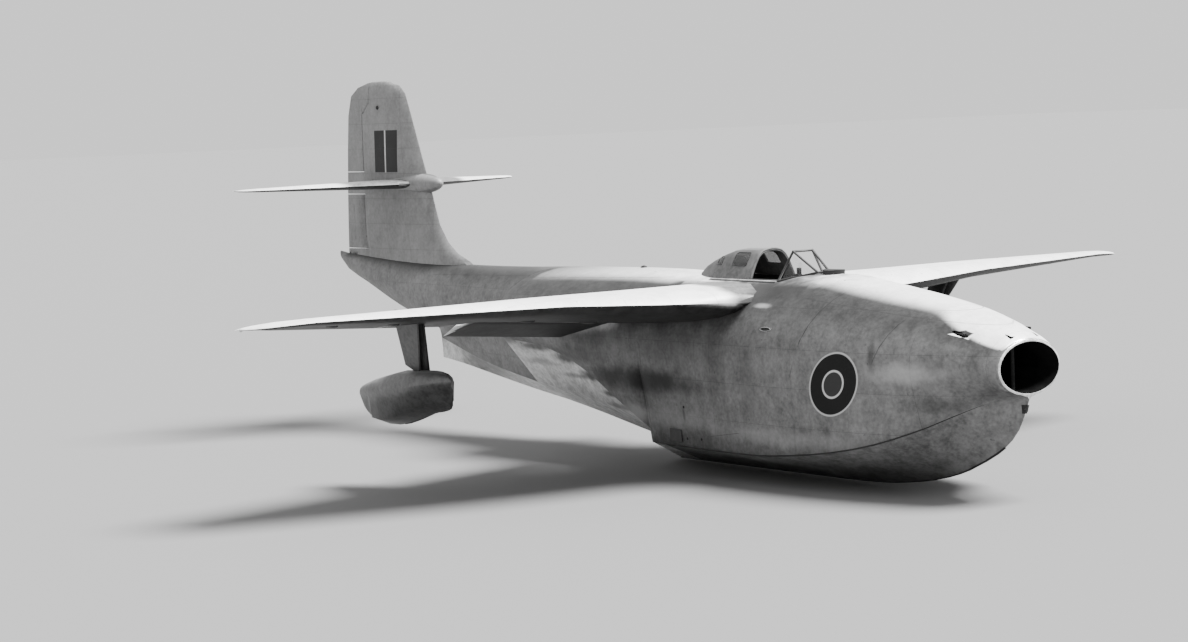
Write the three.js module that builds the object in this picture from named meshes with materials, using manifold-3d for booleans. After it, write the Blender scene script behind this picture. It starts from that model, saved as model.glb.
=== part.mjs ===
// Twin-jet fighter flying boat in millimetres: +X forward, +Y to port, +Z up.
// The origin is on the centreline, at the waterline, above the heel of the main step.
import * as THREE from "three";
import { mergeVertices } from "three/addons/utils/BufferGeometryUtils.js";
import Module from "manifold-3d";

const wasm = await Module();
wasm.setup();

// Overall sizes. Stations are measured aft from the intake lip, heights up from the keel.
const LENGTH = 15240;
const HALF_SPAN = 7010;
const HEIGHT = 5192;
const DRAUGHT = 750;
const STEP_STATION = 6590;
const GAP = 0.3;
const FAR = 20000;
const HULL_GAP = 0.6;
const WELD = 1e-3;

// Sides of a small, a medium and a large round solid.
const ROUND = { small: 10, medium: 16, large: 28 };

// Bulkheads where the hull's real sections are joined.
const LIP_AFT = 38;
const BOW_AFT = 3150;
const COCKPIT_AFT = 5700;
const CENTRE_AFT = 9128;
const AFTERBODY_AFT = 12370;

// Main step: a V in plan whose heel is this far behind its ends at the chines.
const STEP_SWEEP = 672;

// Intake and the ducts behind it.
const INTAKE_HEIGHT = 1533;
const DUCT_HALF_WIDTH = 445;
const DUCT_HALF_HEIGHT = 281;
const LIP_FLARE = 14;
const DUCT_DEPTH = 2300;
const SPLITTER_START = 260;
const SPLITTER_THICKNESS = 60;

// Cockpit well under its sliding hood.
const DECK_HEIGHT = 2476;
const WELL_FORE = 4030;
const WELL_AFT = 5240;
const WELL_HALF_WIDTH = 300;
const WELL_FLOOR = 1320;
const HOOD_CLEARANCE = 8;
const HOOD_SHELL = 26;

// Engines: each lies at a toed-out angle in its bay, and exhausts beside the hull.
const ENGINE_RADIUS = 360;
const BAY_RADIUS = 382;
const ENGINE_FORE = 5840;
const ENGINE_AFT = 7640;
const ENGINE_END_ROOM = 60;
const BAY_START = 5800;
const PIPE_END = 9240;
const PIPE_ROOM = 6;
const NOZZLE_STATION = 9190;
const NOZZLE_RADIUS = 222;
const NOZZLE_WALL = 16;
const NOZZLE_LENGTH = 520;
const NOZZLE_OVERHANG = 25;
const BORE_OVERRUN = 50;
const PIPE_AXIS_FORE = { station: 5790, y: 477, height: 1650 };
const PIPE_AXIS_AFT = { station: 9190, y: 930, height: 1775 };

// Wing: one straight hinge line on each side carries the flap and the aileron.
const HINGE_ROOT = { y: 1150, station: 6454, height: 2021 };
const HINGE_TIP = { y: 6350, station: 5840, height: 2257 };
const FLAP_INNER = 1215;
const FLAP_OUTER = 3410;
const AILERON_INNER = 4600;
const AILERON_OUTER = 6450;
const FLAP_REST_ANGLE = THREE.MathUtils.degToRad(9);
const FLAP_COVE_GAP = 25;
const AILERON_COVE_GAP = 12;
const SURFACE_END_GAP = 15;
const WING_CAMBER = 0.025;

// Tail: fin with a two-part rudder, and a tailplane carried half way up it.
const TAIL_HEIGHT = 3635;
const RUDDER_HINGE_STATION = 14350;
const RUDDER_FOOT = 2642;
const RUDDER_LOWER_TOP = 3470;
const RUDDER_UPPER_FOOT = 3826;
const RUDDER_COVE_GAP = 12;
const HORN_STATION = 14118;
const HORN_FOOT = 4815;
const HORN_SLANT = 60;
const HORN_FOOT_DROP = 90;
const HORN_FOOT_LEAD = 40;
const ELEVATOR_HINGE_STATION = 14000;
const ELEVATOR_INNER = 210;
const ELEVATOR_OUTER = 2310;
const ELEVATOR_COVE_GAP = 10;
const ELEVATOR_END_GAP = 12;
const BULLET_NOSE = 12205;
const BULLET_WIDEST = 12825;
const BULLET_TAIL = 13985;
const BULLET_RADIUS = 157;
const BULLET_STEPS = 14;
const BULLET_SIDES = 20;

// Wing-tip floats, lowered on their legs.
const FLOAT_Y = 4100;
const FLOAT_LEVEL = 1250;
const FLOAT_LEAN = 0.26;
const FLOAT_RAKE = 0.37;
const FLOAT_LEG_HALF_THICKNESS = 45;
const LEG_FOOT_Y = 4110;
const FLOAT_DOOR_THICKNESS = 24;

// Beaching pads stand proud of the hull's sides to this y.
const PAD_FACE_Y = 1036;

// Finishes: colour, roughness, metalness.
const finish = {
  skin: [0x9a9b98, 0.55, 0.35],
  bright: [0xc9cac8, 0.35, 0.8],
  dark: [0x3c3d3d, 0.7, 0.2],
  duct: [0x26282a, 0.6, 0.3],
  glass: [0xb9c4c6, 0.08, 0.0],
  steel: [0x6d6a66, 0.45, 0.8],
  leather: [0x4b4036, 0.75, 0.0],
};

const aircraft = new THREE.Group();

// A point given by station aft, side and height above the keel.
function at(station, y, height) {
  return new THREE.Vector3(STEP_STATION - station, y, height - DRAUGHT);
}

// A closed geometry as a solid that can be cut and joined, its faces turned outward.
function solid(geometry) {
  const bare = new THREE.BufferGeometry();
  bare.setAttribute("position", geometry.getAttribute("position"));
  if (geometry.index) bare.setIndex(geometry.index);
  const merged = mergeVertices(bare, WELD);
  const triVerts = new Uint32Array(merged.index.array);
  const make = () =>
    new wasm.Manifold(
      new wasm.Mesh({ numProp: 3, vertProperties: merged.attributes.position.array, triVerts }),
    );
  const made = make();
  if (made.volume() > 0) return made;
  for (let i = 0; i < triVerts.length; i += 3)
    [triVerts[i + 1], triVerts[i + 2]] = [triVerts[i + 2], triVerts[i + 1]];
  return make();
}

// Adds one named piece of the aircraft.
function add(name, shape, [color, roughness, metalness]) {
  const mesh = shape.getMesh();
  const indexed = new THREE.BufferGeometry();
  const positions = new Float32Array(mesh.numVert * 3);
  for (let i = 0; i < mesh.numVert; i++)
    positions.set(mesh.vertProperties.subarray(i * mesh.numProp, i * mesh.numProp + 3), i * 3);
  indexed.setAttribute("position", new THREE.BufferAttribute(positions, 3));
  indexed.setIndex(new THREE.BufferAttribute(mesh.triVerts, 1));
  const geometry = indexed.toNonIndexed();
  geometry.computeVertexNormals();
  const material = new THREE.MeshStandardMaterial({ color, roughness, metalness });
  if (color === finish.glass[0]) Object.assign(material, { transparent: true, opacity: 0.35 });
  const piece = new THREE.Mesh(geometry, material);
  piece.name = name;
  aircraft.add(piece);
}

// A skin drawn through rings of equal count, closed by flat ends. flat turns a ring's point into 2-D.
// The second half of each ring splits its faces the other way, so a symmetric ring stays symmetric.
function loft(rings, flat) {
  const count = rings[0].length;
  const points = rings.flat();
  const faces = [];
  for (let r = 0; r + 1 < rings.length; r++)
    for (let i = 0; i < count; i++) {
      const [a, b] = [r * count + i, r * count + ((i + 1) % count)];
      if (i < count / 2) faces.push(a, b, a + count, b, b + count, a + count);
      else faces.push(a, b, b + count, a, b + count, a + count);
    }
  const end = (ring, start, turned) => {
    for (const [a, b, c] of THREE.ShapeUtils.triangulateShape(ring.map(flat), []))
      faces.push(start + a, start + (turned ? c : b), start + (turned ? b : c));
  };
  const clockwise = THREE.ShapeUtils.isClockWise(rings[0].map(flat));
  end(rings[0], 0, !clockwise);
  end(rings.at(-1), points.length - count, clockwise);
  const geometry = new THREE.BufferGeometry().setFromPoints(points);
  geometry.setIndex(faces);
  return solid(geometry);
}

// A box between two stations, two sides and two heights.
function block([fore, aft], [y0, y1], [low, high]) {
  const box = new THREE.BoxGeometry(aft - fore, y1 - y0, high - low);
  const middle = at((fore + aft) / 2, (y0 + y1) / 2, (low + high) / 2);
  return solid(box.translate(middle.x, middle.y, middle.z));
}

// A round bar or a cone from one point to another.
function rod(from, to, radius, endRadius = radius, sides = ROUND.medium) {
  const length = from.distanceTo(to);
  const bar = new THREE.CylinderGeometry(endRadius, radius, length, sides);
  const along = to.clone().sub(from).normalize();
  const turn = new THREE.Quaternion().setFromUnitVectors(new THREE.Vector3(0, 1, 0), along);
  const middle = from.clone().add(to).multiplyScalar(0.5);
  return solid(bar.applyQuaternion(turn).translate(middle.x, middle.y, middle.z));
}

// A flat plate with the given corners, thickened both ways along a normal.
function plate(corners, normal, thickness) {
  const out = normal.clone().normalize().multiplyScalar(thickness / 2);
  const u = corners[1].clone().sub(corners[0]).normalize();
  const v = normal.clone().normalize().cross(u);
  const flat = (p) => new THREE.Vector2(p.dot(u), p.dot(v));
  const rings = [-1, 1].map((s) => corners.map((p) => p.clone().addScaledVector(out, s)));
  return loft(rings, flat);
}

function mirrored(p) {
  return new THREE.Vector3(p.x, -p.y, p.z);
}

// Each side of the aircraft: its name and the sign of its y.
const SIDES = [
  ["starboard", -1],
  ["port", 1],
];

// Hull sections. keel, chine, hip (the crease above the chine), beam (widest) and top:
// [station, sweep, keel height, chine y, height, hip y, height, beam y, height, top height]
const COCKPIT_SECTION = [4923, 0, 0, 1015, 349, 1077, 943, 1132, 1637, DECK_HEIGHT];
const HULL = [
  [0, 0, 1226, 101, 1234, 203, 1257, 472, 1534, 1841],
  [11, 0, 1213, 101, 1221, 208, 1245, 486, 1534, 1855],
  [23, 0, 1167, 16, 1211, 210, 1242, 493, 1535, 1869],
  [38, 0, 1130, 20, 1202, 214, 1239, 499, 1536, 1881],
  [76, 0, 1049, 25, 1182, 224, 1239, 513, 1540, 1906],
  [128, 0, 932, 35, 1162, 241, 1239, 530, 1544, 1931],
  [198, 0, 809, 74, 1153, 291, 1245, 555, 1550, 1956],
  [306, 0, 687, 134, 1143, 361, 1263, 592, 1562, 1993],
  [439, 0, 580, 214, 1119, 456, 1267, 641, 1573, 2035],
  [553, 0, 508, 320, 1072, 547, 1265, 691, 1584, 2075],
  [750, 0, 407, 454, 979, 658, 1244, 759, 1595, 2130],
  [1036, 0, 280, 660, 836, 776, 1195, 846, 1606, 2200],
  [1381, 0, 172, 876, 699, 890, 1127, 931, 1617, 2264],
  [1884, 0, 76, 971, 568, 1006, 1049, 1024, 1619, 2345],
  [2545, 0, 14, 1036, 458, 1068, 995, 1087, 1611, 2440],
  [3208, 0, 0, 1067, 389, 1095, 966, 1116, 1613, 2515],
  [3603, 0, 0, 1071, 361, 1101, 951, 1124, 1614, 2512],
  [3950, 0, 0, 1067, 355, 1099, 944, 1128, 1617, DECK_HEIGHT],
  COCKPIT_SECTION,
  [5918, STEP_SWEEP, 0, 955, 353, 1056, 970, 1140, 1675, DECK_HEIGHT + 5],
  [5932, STEP_SWEEP, 199, 925, 495, 950, 510, 1141, 1676, DECK_HEIGHT + 5],
  [6705, 0, 215, 858, 712, 1003, 918, 1146, 1702, 2500],
  [7285, 0, 305, 784, 784, 1007, 1208, 1155, 1726, 2501],
  [7856, 0, 404, 702, 828, 1012, 1400, 1164, 1747, 2494],
  [8386, 0, 495, 625, 869, 1020, 1500, 1173, 1767, 2487],
  [9103, 0, 606, 526, 906, 1070, 1556, 1188, 1794, 2475],
  [9118, 0, 609, 524, 907, 604, 1310, 669, 1725, 2474],
  [9913, 0, 708, 404, 980, 503, 1351, 581, 1793, 2454],
  [10952, 0, 857, 252, 1108, 364, 1423, 451, 1876, 2446],
  [11882, 0, 994, 91, 1256, 268, 1516, 350, 1949, 2454],
  [12364, 0, 1049, 10, 1340, 70, 1600, 300, 1991, 2474],
  [12376, 0, 1470, 40, 1492, 150, 1610, 300, 1993, 2474],
  [13458, 0, 1794, 57, 1803, 150, 1926, 215, 2163, 2501],
  [14402, 0, 2114, 35, 2120, 91, 2198, 124, 2341, 2535],
  [14992, 0, 2312, 20, 2317, 50, 2373, 70, 2455, 2556],
  [15195, 0, 2452, 10, 2456, 28, 2487, 38, 2525, 2583],
  [LENGTH, 0, 2513, 6, 2516, 12, 2536, 16, 2552, 2587],
];
const BOTTOM_STEPS = 2;
const SIDE_STEPS = 2;
const FLANK_STEPS = 4;
const CROWN_STEPS = 7;
const RING_SPACING = 330;
const STEP_WIDTH = 16;

// Slopes of a column of a table at its rows, limited so that the curve between rows never overshoots.
function slopes(stations, values) {
  const steep = stations.slice(1).map((x, i) => (values[i + 1] - values[i]) / (x - stations[i]));
  return stations.map((_, i) => {
    if (i === 0) return steep[0];
    if (i === steep.length) return steep.at(-1);
    const [before, after] = [steep[i - 1], steep[i]];
    return before * after > 0 ? (2 * before * after) / (before + after) : 0;
  });
}

// Table rows with smooth rows put in wherever two are further apart than the ring spacing.
function faired(rows) {
  const stations = rows.map(([station]) => station);
  const columns = rows[0].map((_, k) => rows.map((row) => row[k]));
  const slope = columns.map((column) => slopes(stations, column));
  return rows.flatMap((row, i) => {
    if (i + 1 === rows.length) return [row];
    const width = stations[i + 1] - stations[i];
    const count = Math.ceil(width / RING_SPACING);
    const between = (f) =>
      columns.map((column, k) => {
        const [a, b] = [column[i], column[i + 1]];
        const [m, n] = [slope[k][i] * width, slope[k][i + 1] * width];
        const rise = f * f * (3 - 2 * f);
        return a + (b - a) * rise + m * f * (1 - f) ** 2 - n * f * f * (1 - f);
      });
    return [row, ...Array.from({ length: count - 1 }, (_, j) => between((j + 1) / count))];
  });
}

// The hull's rows in runs that end where the hull steps.
function hullRows() {
  const runs = [[]];
  HULL.forEach((row, i) => {
    const afterStep = row[0] > BOW_AFT && row[0] - HULL[i - 1][0] < STEP_WIDTH;
    if (afterStep) runs.push([]);
    runs.at(-1).push(row);
  });
  return runs.flatMap(faired);
}

// One hull ring. grow lets a neighbour be cut a hair clear of the skin.
function hullRing([station, sweep, keel, cy, ch, hy, hh, by, bh, top], grow) {
  const half = [];
  for (let i = 0; i <= BOTTOM_STEPS; i++) {
    const f = i / BOTTOM_STEPS;
    half.push([station + sweep * (1 - f), cy * f, keel + (ch - keel) * f]);
  }
  for (let i = 1; i <= SIDE_STEPS; i++) {
    const f = i / SIDE_STEPS;
    half.push([station, cy + (hy - cy) * f, ch + (hh - ch) * f]);
  }
  const hip = Math.asin(hy / by);
  const drop = (bh - hh) / Math.cos(hip);
  for (let i = 1; i <= FLANK_STEPS; i++) {
    const t = hip + (Math.PI / 2 - hip) * (i / FLANK_STEPS);
    half.push([station, by * Math.sin(t), bh - drop * Math.cos(t)]);
  }
  for (let i = 1; i <= CROWN_STEPS; i++) {
    const t = (i / CROWN_STEPS) * (Math.PI / 2);
    half.push([station, i === CROWN_STEPS ? 0 : by * Math.cos(t), bh + (top - bh) * Math.sin(t)]);
  }
  const larger = 1 + grow / by;
  const middle = (keel + top) / 2;
  const port = half.map(([s, y, h]) => at(s, y * larger, middle + (h - middle) * larger));
  const starboard = port.slice(1, -1).reverse().map(mirrored);
  return [...port, ...starboard];
}

function acrossHull(p) {
  return new THREE.Vector2(p.y, p.z);
}

function hullSolid(grow = 0) {
  return loft(hullRows().map((row) => hullRing(row, grow)), acrossHull);
}

const hull = hullSolid();
const hullWithGap = hullSolid(HULL_GAP);

function hullBetween(fore, aft) {
  return hull.intersect(block([fore, aft], [-FAR, FAR], [-FAR, FAR]));
}

// The intake duct, an oval bore whose mouth flares into the rounded lip: [station, flare]
const DUCT_ROWS = [
  [-10, LIP_FLARE + 4],
  [0, LIP_FLARE],
  [12, LIP_FLARE / 3],
  [34, 0],
  [DUCT_DEPTH, 0],
];
const DUCT_SIDES = 36;

function ductRing(station, flare) {
  const ring = [];
  for (let i = 0; i < DUCT_SIDES; i++) {
    const t = (i / DUCT_SIDES) * 2 * Math.PI;
    const y = (DUCT_HALF_WIDTH + flare) * Math.cos(t);
    ring.push(at(station, y, INTAKE_HEIGHT + (DUCT_HALF_HEIGHT + flare) * Math.sin(t)));
  }
  return ring;
}

function ductSolid(shrink = 0) {
  return loft(DUCT_ROWS.map(([station, flare]) => ductRing(station, flare - shrink)), acrossHull);
}

const duct = ductSolid();

// Cannon troughs over the intake: [y, fore station, aft station, height, trough radius]
const CANNON_ROWS = [
  [505, 250, 900, 1905, 34],
  [200, 92, 245, 1872, 24],
];
const CANNON_RADIUS = 17;
const CANNON_REACH = [0.4, 0.99];
const TROUGH_RISE = 34;

// A point on a trough's axis, from its fore end (0) to its aft end (1).
function troughPoint([y, fore, aft, height, radius], s, f) {
  return at(fore - radius + (aft - fore + radius) * f, s * y, height + TROUGH_RISE * f);
}

function cannonTroughs() {
  return CANNON_ROWS.flatMap((row) =>
    SIDES.map(([, s]) => {
      const [fore, aft] = [troughPoint(row, s, 0), troughPoint(row, s, 1)];
      return rod(fore, aft, row[4], row[4], ROUND.small);
    }),
  );
}

function addHull() {
  add("intake_lip", hullBetween(0, LIP_AFT).subtract(duct), finish.bright);
  const bow = cannonTroughs().reduce(
    (left, trough) => left.subtract(trough),
    hullBetween(LIP_AFT + GAP, BOW_AFT).subtract(duct),
  );
  add("hull_bow", bow.subtract(eyeNotch(GAP)), finish.skin);

  const well = block(
    [WELL_FORE, WELL_AFT],
    [-WELL_HALF_WIDTH, WELL_HALF_WIDTH],
    [WELL_FLOOR, HEIGHT],
  );
  add("hull_cockpit", hullBetween(BOW_AFT + GAP, COCKPIT_AFT).subtract(well), finish.skin);

  let centre = hullBetween(COCKPIT_AFT + GAP, CENTRE_AFT);
  for (const [, s] of SIDES) {
    const [fore, aft, end] = [BAY_START, ENGINE_AFT, PIPE_END].map((station) => pipeAxis(station, s));
    const bay = rod(fore, aft, BAY_RADIUS, BAY_RADIUS, ROUND.large);
    const pipeRoom = rod(aft, end, BAY_RADIUS, NOZZLE_RADIUS + PIPE_ROOM, ROUND.large);
    centre = centre.subtract(bay.add(pipeRoom));
  }
  add("hull_centre", centre, finish.skin);
  add("hull_afterbody", hullBetween(CENTRE_AFT + GAP, AFTERBODY_AFT), finish.skin);
  add("tail_boom", hullBetween(AFTERBODY_AFT + GAP, LENGTH), finish.skin);
}

// A point on an engine's axis at a station, s being the side.
function pipeAxis(station, s) {
  const [a, b] = [PIPE_AXIS_FORE, PIPE_AXIS_AFT];
  const f = (station - a.station) / (b.station - a.station);
  return at(station, s * (a.y + (b.y - a.y) * f), a.height + (b.height - a.height) * f);
}

function addIntakeAndEngines() {
  const splitter = block(
    [SPLITTER_START + SPLITTER_THICKNESS / 2, DUCT_DEPTH - GAP],
    [-SPLITTER_THICKNESS / 2, SPLITTER_THICKNESS / 2],
    [0, HEIGHT],
  );
  const nose = rod(
    at(SPLITTER_START + SPLITTER_THICKNESS / 2, 0, 0),
    at(SPLITTER_START + SPLITTER_THICKNESS / 2, 0, HEIGHT),
    SPLITTER_THICKNESS / 2,
  );
  add("intake_splitter", splitter.add(nose).intersect(ductSolid(GAP)), finish.duct);

  for (const [name, s] of SIDES) {
    const engineAft = pipeAxis(ENGINE_AFT - ENGINE_END_ROOM, s);
    add("engine_" + name, rod(pipeAxis(ENGINE_FORE, s), engineAft, ENGINE_RADIUS), finish.steel);
    const [fore, aft] = [NOZZLE_STATION - NOZZLE_LENGTH, NOZZLE_STATION + NOZZLE_OVERHANG];
    const outer = rod(pipeAxis(fore, s), pipeAxis(aft, s), NOZZLE_RADIUS, NOZZLE_RADIUS, ROUND.large);
    const bore = NOZZLE_RADIUS - NOZZLE_WALL;
    const [innerFore, innerAft] = [pipeAxis(fore - BORE_OVERRUN, s), pipeAxis(aft + BORE_OVERRUN, s)];
    const inner = rod(innerFore, innerAft, bore, bore, ROUND.large);
    add("jet_nozzle_" + name, outer.subtract(inner), finish.steel);
    for (const [i, row] of CANNON_ROWS.entries()) {
      const [from, to] = CANNON_REACH.map((f) => troughPoint(row, s, f));
      const cannon = rod(from, to, CANNON_RADIUS, CANNON_RADIUS, ROUND.small);
      add("cannon_" + ["outer_", "inner_"][i] + name, cannon, finish.steel);
    }
  }
}

// Thickness of an aerofoil at a fraction of its chord, as a share of its greatest thickness.
function foilShape(f) {
  return (
    5 * (0.2969 * Math.sqrt(f) - 0.126 * f - 0.3516 * f ** 2 + 0.2843 * f ** 3 - 0.1015 * f ** 4)
  );
}
const FOIL_STEPS = 9;

// An aerofoil body. Rows are [span, leading station, trailing station, thickness share, leading level,
// trailing level]; place puts (station, height above the zero level, span) in space.
function foil(rows, camber, place, flat, grow = 0) {
  const rings = rows.map(([span, lead, trail, share, leadLevel = 0, trailLevel = 0]) => {
    const chord = trail - lead;
    const side = (sign) => {
      const points = [];
      for (let i = 0; i <= FOIL_STEPS; i++) {
        const f = (1 - Math.cos((Math.PI * i) / FOIL_STEPS)) / 2;
        const mean = 4 * camber * f * (1 - f) * chord;
        const stretch = grow * (2 * f - 1);
        const offset = mean + sign * (share * foilShape(f) * chord + grow);
        const level = leadLevel + (trailLevel - leadLevel) * f;
        points.push(place(lead + f * chord + stretch, level + offset, span));
      }
      return points;
    };
    const upper = side(1);
    const lower = side(-1).reverse();
    return grow > 0 ? [...upper, ...lower] : [...upper, ...lower.slice(0, -1)];
  });
  return loft(rings, flat);
}

// Wing, set nose up on the hull:
// [y, leading station, trailing station, thickness share, leading height, trailing height]
const WING = [
  [480, 3925, 7767, 0.13, 2198, 1772],
  [1050, 3983, 7610, 0.13, 2208, 1812],
  [2100, 4090, 7321, 0.115, 2256, 1887],
  [3400, 4240, 6964, 0.09, 2324, 1979],
  [6300, 5021, 6166, 0.081, 2330, 2192],
  [6600, 5107, 6084, 0.08, 2316, 2222],
  [6800, 5219, 5974, 0.079, 2300, 2240],
  [6920, 5341, 5853, 0.078, 2288, 2252],
  [6990, 5458, 5736, 0.075, 2280, 2262],
  [HALF_SPAN, 5515, 5678, 0.07, 2276, 2266],
];

// A point on the wing's hinge line.
function hingePoint(y, s) {
  const f = (y - HINGE_ROOT.y) / (HINGE_TIP.y - HINGE_ROOT.y);
  const along = (k) => HINGE_ROOT[k] + (HINGE_TIP[k] - HINGE_ROOT[k]) * f;
  return at(along("station"), s * y, along("height"));
}

// Half thickness of a foil table's surface at a span and a station.
function halfThickness(rows, span, station) {
  const outer = Math.max(1, rows.findIndex((row) => row[0] >= span));
  const [a, b] = [rows[outer - 1], rows[outer]];
  const f = (span - a[0]) / (b[0] - a[0]);
  const [lead, trail, share] = [1, 2, 3].map((k) => a[k] + (b[k] - a[k]) * f);
  const chord = trail - lead;
  return share * foilShape((station - lead) / chord) * chord;
}

// What a trailing surface takes out of the wing: all behind its hinge, with a round nose.
function surfaceRegion(inner, outer, s, gap) {
  const [a, b] = [hingePoint(inner, s), hingePoint(outer, s)];
  const corners = [a, b, new THREE.Vector3(-FAR, b.y, b.z), new THREE.Vector3(-FAR, a.y, b.z)];
  const aft = plate(corners, new THREE.Vector3(0, 0, 1), HEIGHT);
  const [innerRadius, outerRadius] = [
    [inner, a],
    [outer, b],
  ].map(([y, p]) => halfThickness(WING, y, STEP_STATION - p.x) + gap);
  return aft.add(rod(a, b, innerRadius, outerRadius, ROUND.large));
}

// Turns a solid about the line from one point to another.
function turned(shape, from, to, angle) {
  const axis = to.clone().sub(from).normalize();
  const matrix = new THREE.Matrix4()
    .makeTranslation(from.x, from.y, from.z)
    .multiply(new THREE.Matrix4().makeRotationAxis(axis, angle))
    .multiply(new THREE.Matrix4().makeTranslation(-from.x, -from.y, -from.z));
  return shape.transform(matrix.elements);
}

function wingSolid(s, grow = 0) {
  const place = (station, height, span) => at(station, s * span, height);
  return foil(WING, WING_CAMBER, place, (p) => new THREE.Vector2(p.x, p.z), grow);
}

function addWing(name, s) {
  const whole = wingSolid(s);
  const end = SURFACE_END_GAP;
  const flapCut = surfaceRegion(WING[0][0], FLAP_OUTER + end, s, FLAP_COVE_GAP);
  const aileronCut = surfaceRegion(AILERON_INNER - end, AILERON_OUTER + end, s, AILERON_COVE_GAP);
  const wing = whole.subtract(flapCut).subtract(aileronCut).subtract(hullWithGap);
  add("wing_" + name, wing, finish.skin);

  const flap = whole.intersect(surfaceRegion(FLAP_INNER, FLAP_OUTER, s, 0));
  const [root, tip] = [hingePoint(FLAP_INNER, s), hingePoint(FLAP_OUTER, s)];
  add("flap_" + name, turned(flap, root, tip, -s * FLAP_REST_ANGLE), finish.skin);
  const aileron = whole.intersect(surfaceRegion(AILERON_INNER, AILERON_OUTER, s, 0));
  add("aileron_" + name, aileron, finish.skin);
}

// Fin and rudder together: [height, leading station, trailing station, thickness share]
const FIN = [
  [2337, 11236, 14988, 0.06],
  [2481, 11498, 14986, 0.065],
  [2604, 11841, 14984, 0.075],
  [2768, 12092, 14978, 0.085],
  [3023, 12302, 14965, 0.095],
  [3492, 12493, 14938, 0.1],
  [4134, 12764, 14886, 0.1],
  [4685, 12990, 14822, 0.098],
  [4985, 13118, 14716, 0.092],
  [5112, 13269, 14500, 0.085],
  [5176, 13553, 14195, 0.08],
  [HEIGHT, 13736, 14021, 0.07],
];

function finPlace(station, offset, span) {
  return at(station, offset, span);
}

function acrossFin(p) {
  return new THREE.Vector2(p.x, p.y);
}

// The part of the tail that turns as rudder, between two heights.
function rudderRegion(low, high, gap) {
  const hinge = RUDDER_HINGE_STATION;
  const top = Math.min(high, HORN_FOOT);
  const [lowRadius, topRadius] = [low, top].map((h) => halfThickness(FIN, h, hinge) + gap);
  const nose = rod(at(hinge, 0, low), at(hinge, 0, top), lowRadius, topRadius, ROUND.large);
  return block([hinge, FAR], [-FAR, FAR], [low, high]).add(nose);
}

// The horn balance: the rudder's top, forward of the hinge behind a slanting gap.
function hornRegion(gap) {
  const low = HORN_FOOT - HORN_FOOT_DROP - gap;
  const corners = [
    [RUDDER_HINGE_STATION - HORN_FOOT_LEAD - gap, low],
    [HORN_STATION - gap, HORN_FOOT + HORN_SLANT - gap],
    [HORN_STATION - HORN_SLANT - gap, FAR],
    [FAR, FAR],
    [FAR, low],
  ].map(([station, height]) => at(station, 0, height));
  return plate(corners, new THREE.Vector3(0, 1, 0), HEIGHT);
}

// Tailplane: [y, leading station, trailing station, thickness share]
const TAILPLANE = [
  [40, 12790, 14290, 0.1],
  [300, 12905, 14290, 0.1],
  [2170, 13735, 14290, 0.095],
  [2310, 13812, 14280, 0.09],
  [2390, 13900, 14245, 0.085],
  [2430, 14005, 14180, 0.08],
];

function elevatorRegion(inner, outer, s, gap) {
  const hinge = ELEVATOR_HINGE_STATION;
  const [a, b] = [inner, outer].map((y) => at(hinge, s * y, TAIL_HEIGHT));
  const aft = block([hinge, FAR], [Math.min(a.y, b.y), Math.max(a.y, b.y)], [0, HEIGHT]);
  const [ra, rb] = [inner, outer].map((y) => halfThickness(TAILPLANE, y, hinge) + gap);
  return aft.add(rod(a, b, ra, rb, ROUND.medium));
}

function bulletSolid(grow) {
  const profile = [];
  for (let i = 0; i <= BULLET_STEPS; i++) {
    const t = (i / BULLET_STEPS) * Math.PI;
    const reach = t < Math.PI / 2 ? BULLET_WIDEST - BULLET_NOSE : BULLET_TAIL - BULLET_WIDEST;
    const r = i === 0 || i === BULLET_STEPS ? 0 : BULLET_RADIUS * Math.sin(t) + grow;
    profile.push(new THREE.Vector2(r, -Math.cos(t) * (reach + grow)));
  }
  const body = new THREE.LatheGeometry(profile, BULLET_SIDES);
  const centre = at(BULLET_WIDEST, 0, TAIL_HEIGHT);
  body.rotateZ(Math.PI / 2).translate(centre.x, centre.y, centre.z);
  return solid(body);
}

function addTail() {
  const whole = foil(FIN, 0, finPlace, acrossFin);
  const finGrown = foil(FIN, 0, finPlace, acrossFin, GAP);
  const g = RUDDER_COVE_GAP;
  const lowerCut = rudderRegion(RUDDER_FOOT - g, RUDDER_LOWER_TOP + g, g);
  const upperCut = rudderRegion(RUDDER_UPPER_FOOT - g, FAR, g).add(hornRegion(g));
  const fin = whole.subtract(lowerCut).subtract(upperCut).subtract(hullWithGap);
  add("fin", fin, finish.skin);
  const lower = whole.intersect(rudderRegion(RUDDER_FOOT, RUDDER_LOWER_TOP, 0));
  add("rudder_lower", lower.subtract(hullWithGap), finish.skin);
  const upper = rudderRegion(RUDDER_UPPER_FOOT, FAR, 0).add(hornRegion(0));
  add("rudder_upper", whole.intersect(upper), finish.skin);
  add("tail_bullet", bulletSolid(0).subtract(finGrown), finish.skin);

  const bulletGrown = bulletSolid(GAP);
  for (const [name, s] of SIDES) {
    const place = (station, offset, span) => at(station, s * span, TAIL_HEIGHT + offset);
    const flat = (p) => new THREE.Vector2(p.x, p.z);
    const surface = foil(TAILPLANE, 0, place, flat);
    const [inner, outer] = [ELEVATOR_INNER - ELEVATOR_END_GAP, ELEVATOR_OUTER + ELEVATOR_END_GAP];
    const cut = elevatorRegion(inner, outer, s, ELEVATOR_COVE_GAP);
    const plane = surface.subtract(cut).subtract(bulletGrown).subtract(finGrown);
    add("tailplane_" + name, plane, finish.skin);
    const region = elevatorRegion(ELEVATOR_INNER, ELEVATOR_OUTER, s, 0);
    add("elevator_" + name, surface.intersect(region), finish.skin);
  }
}

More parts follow.
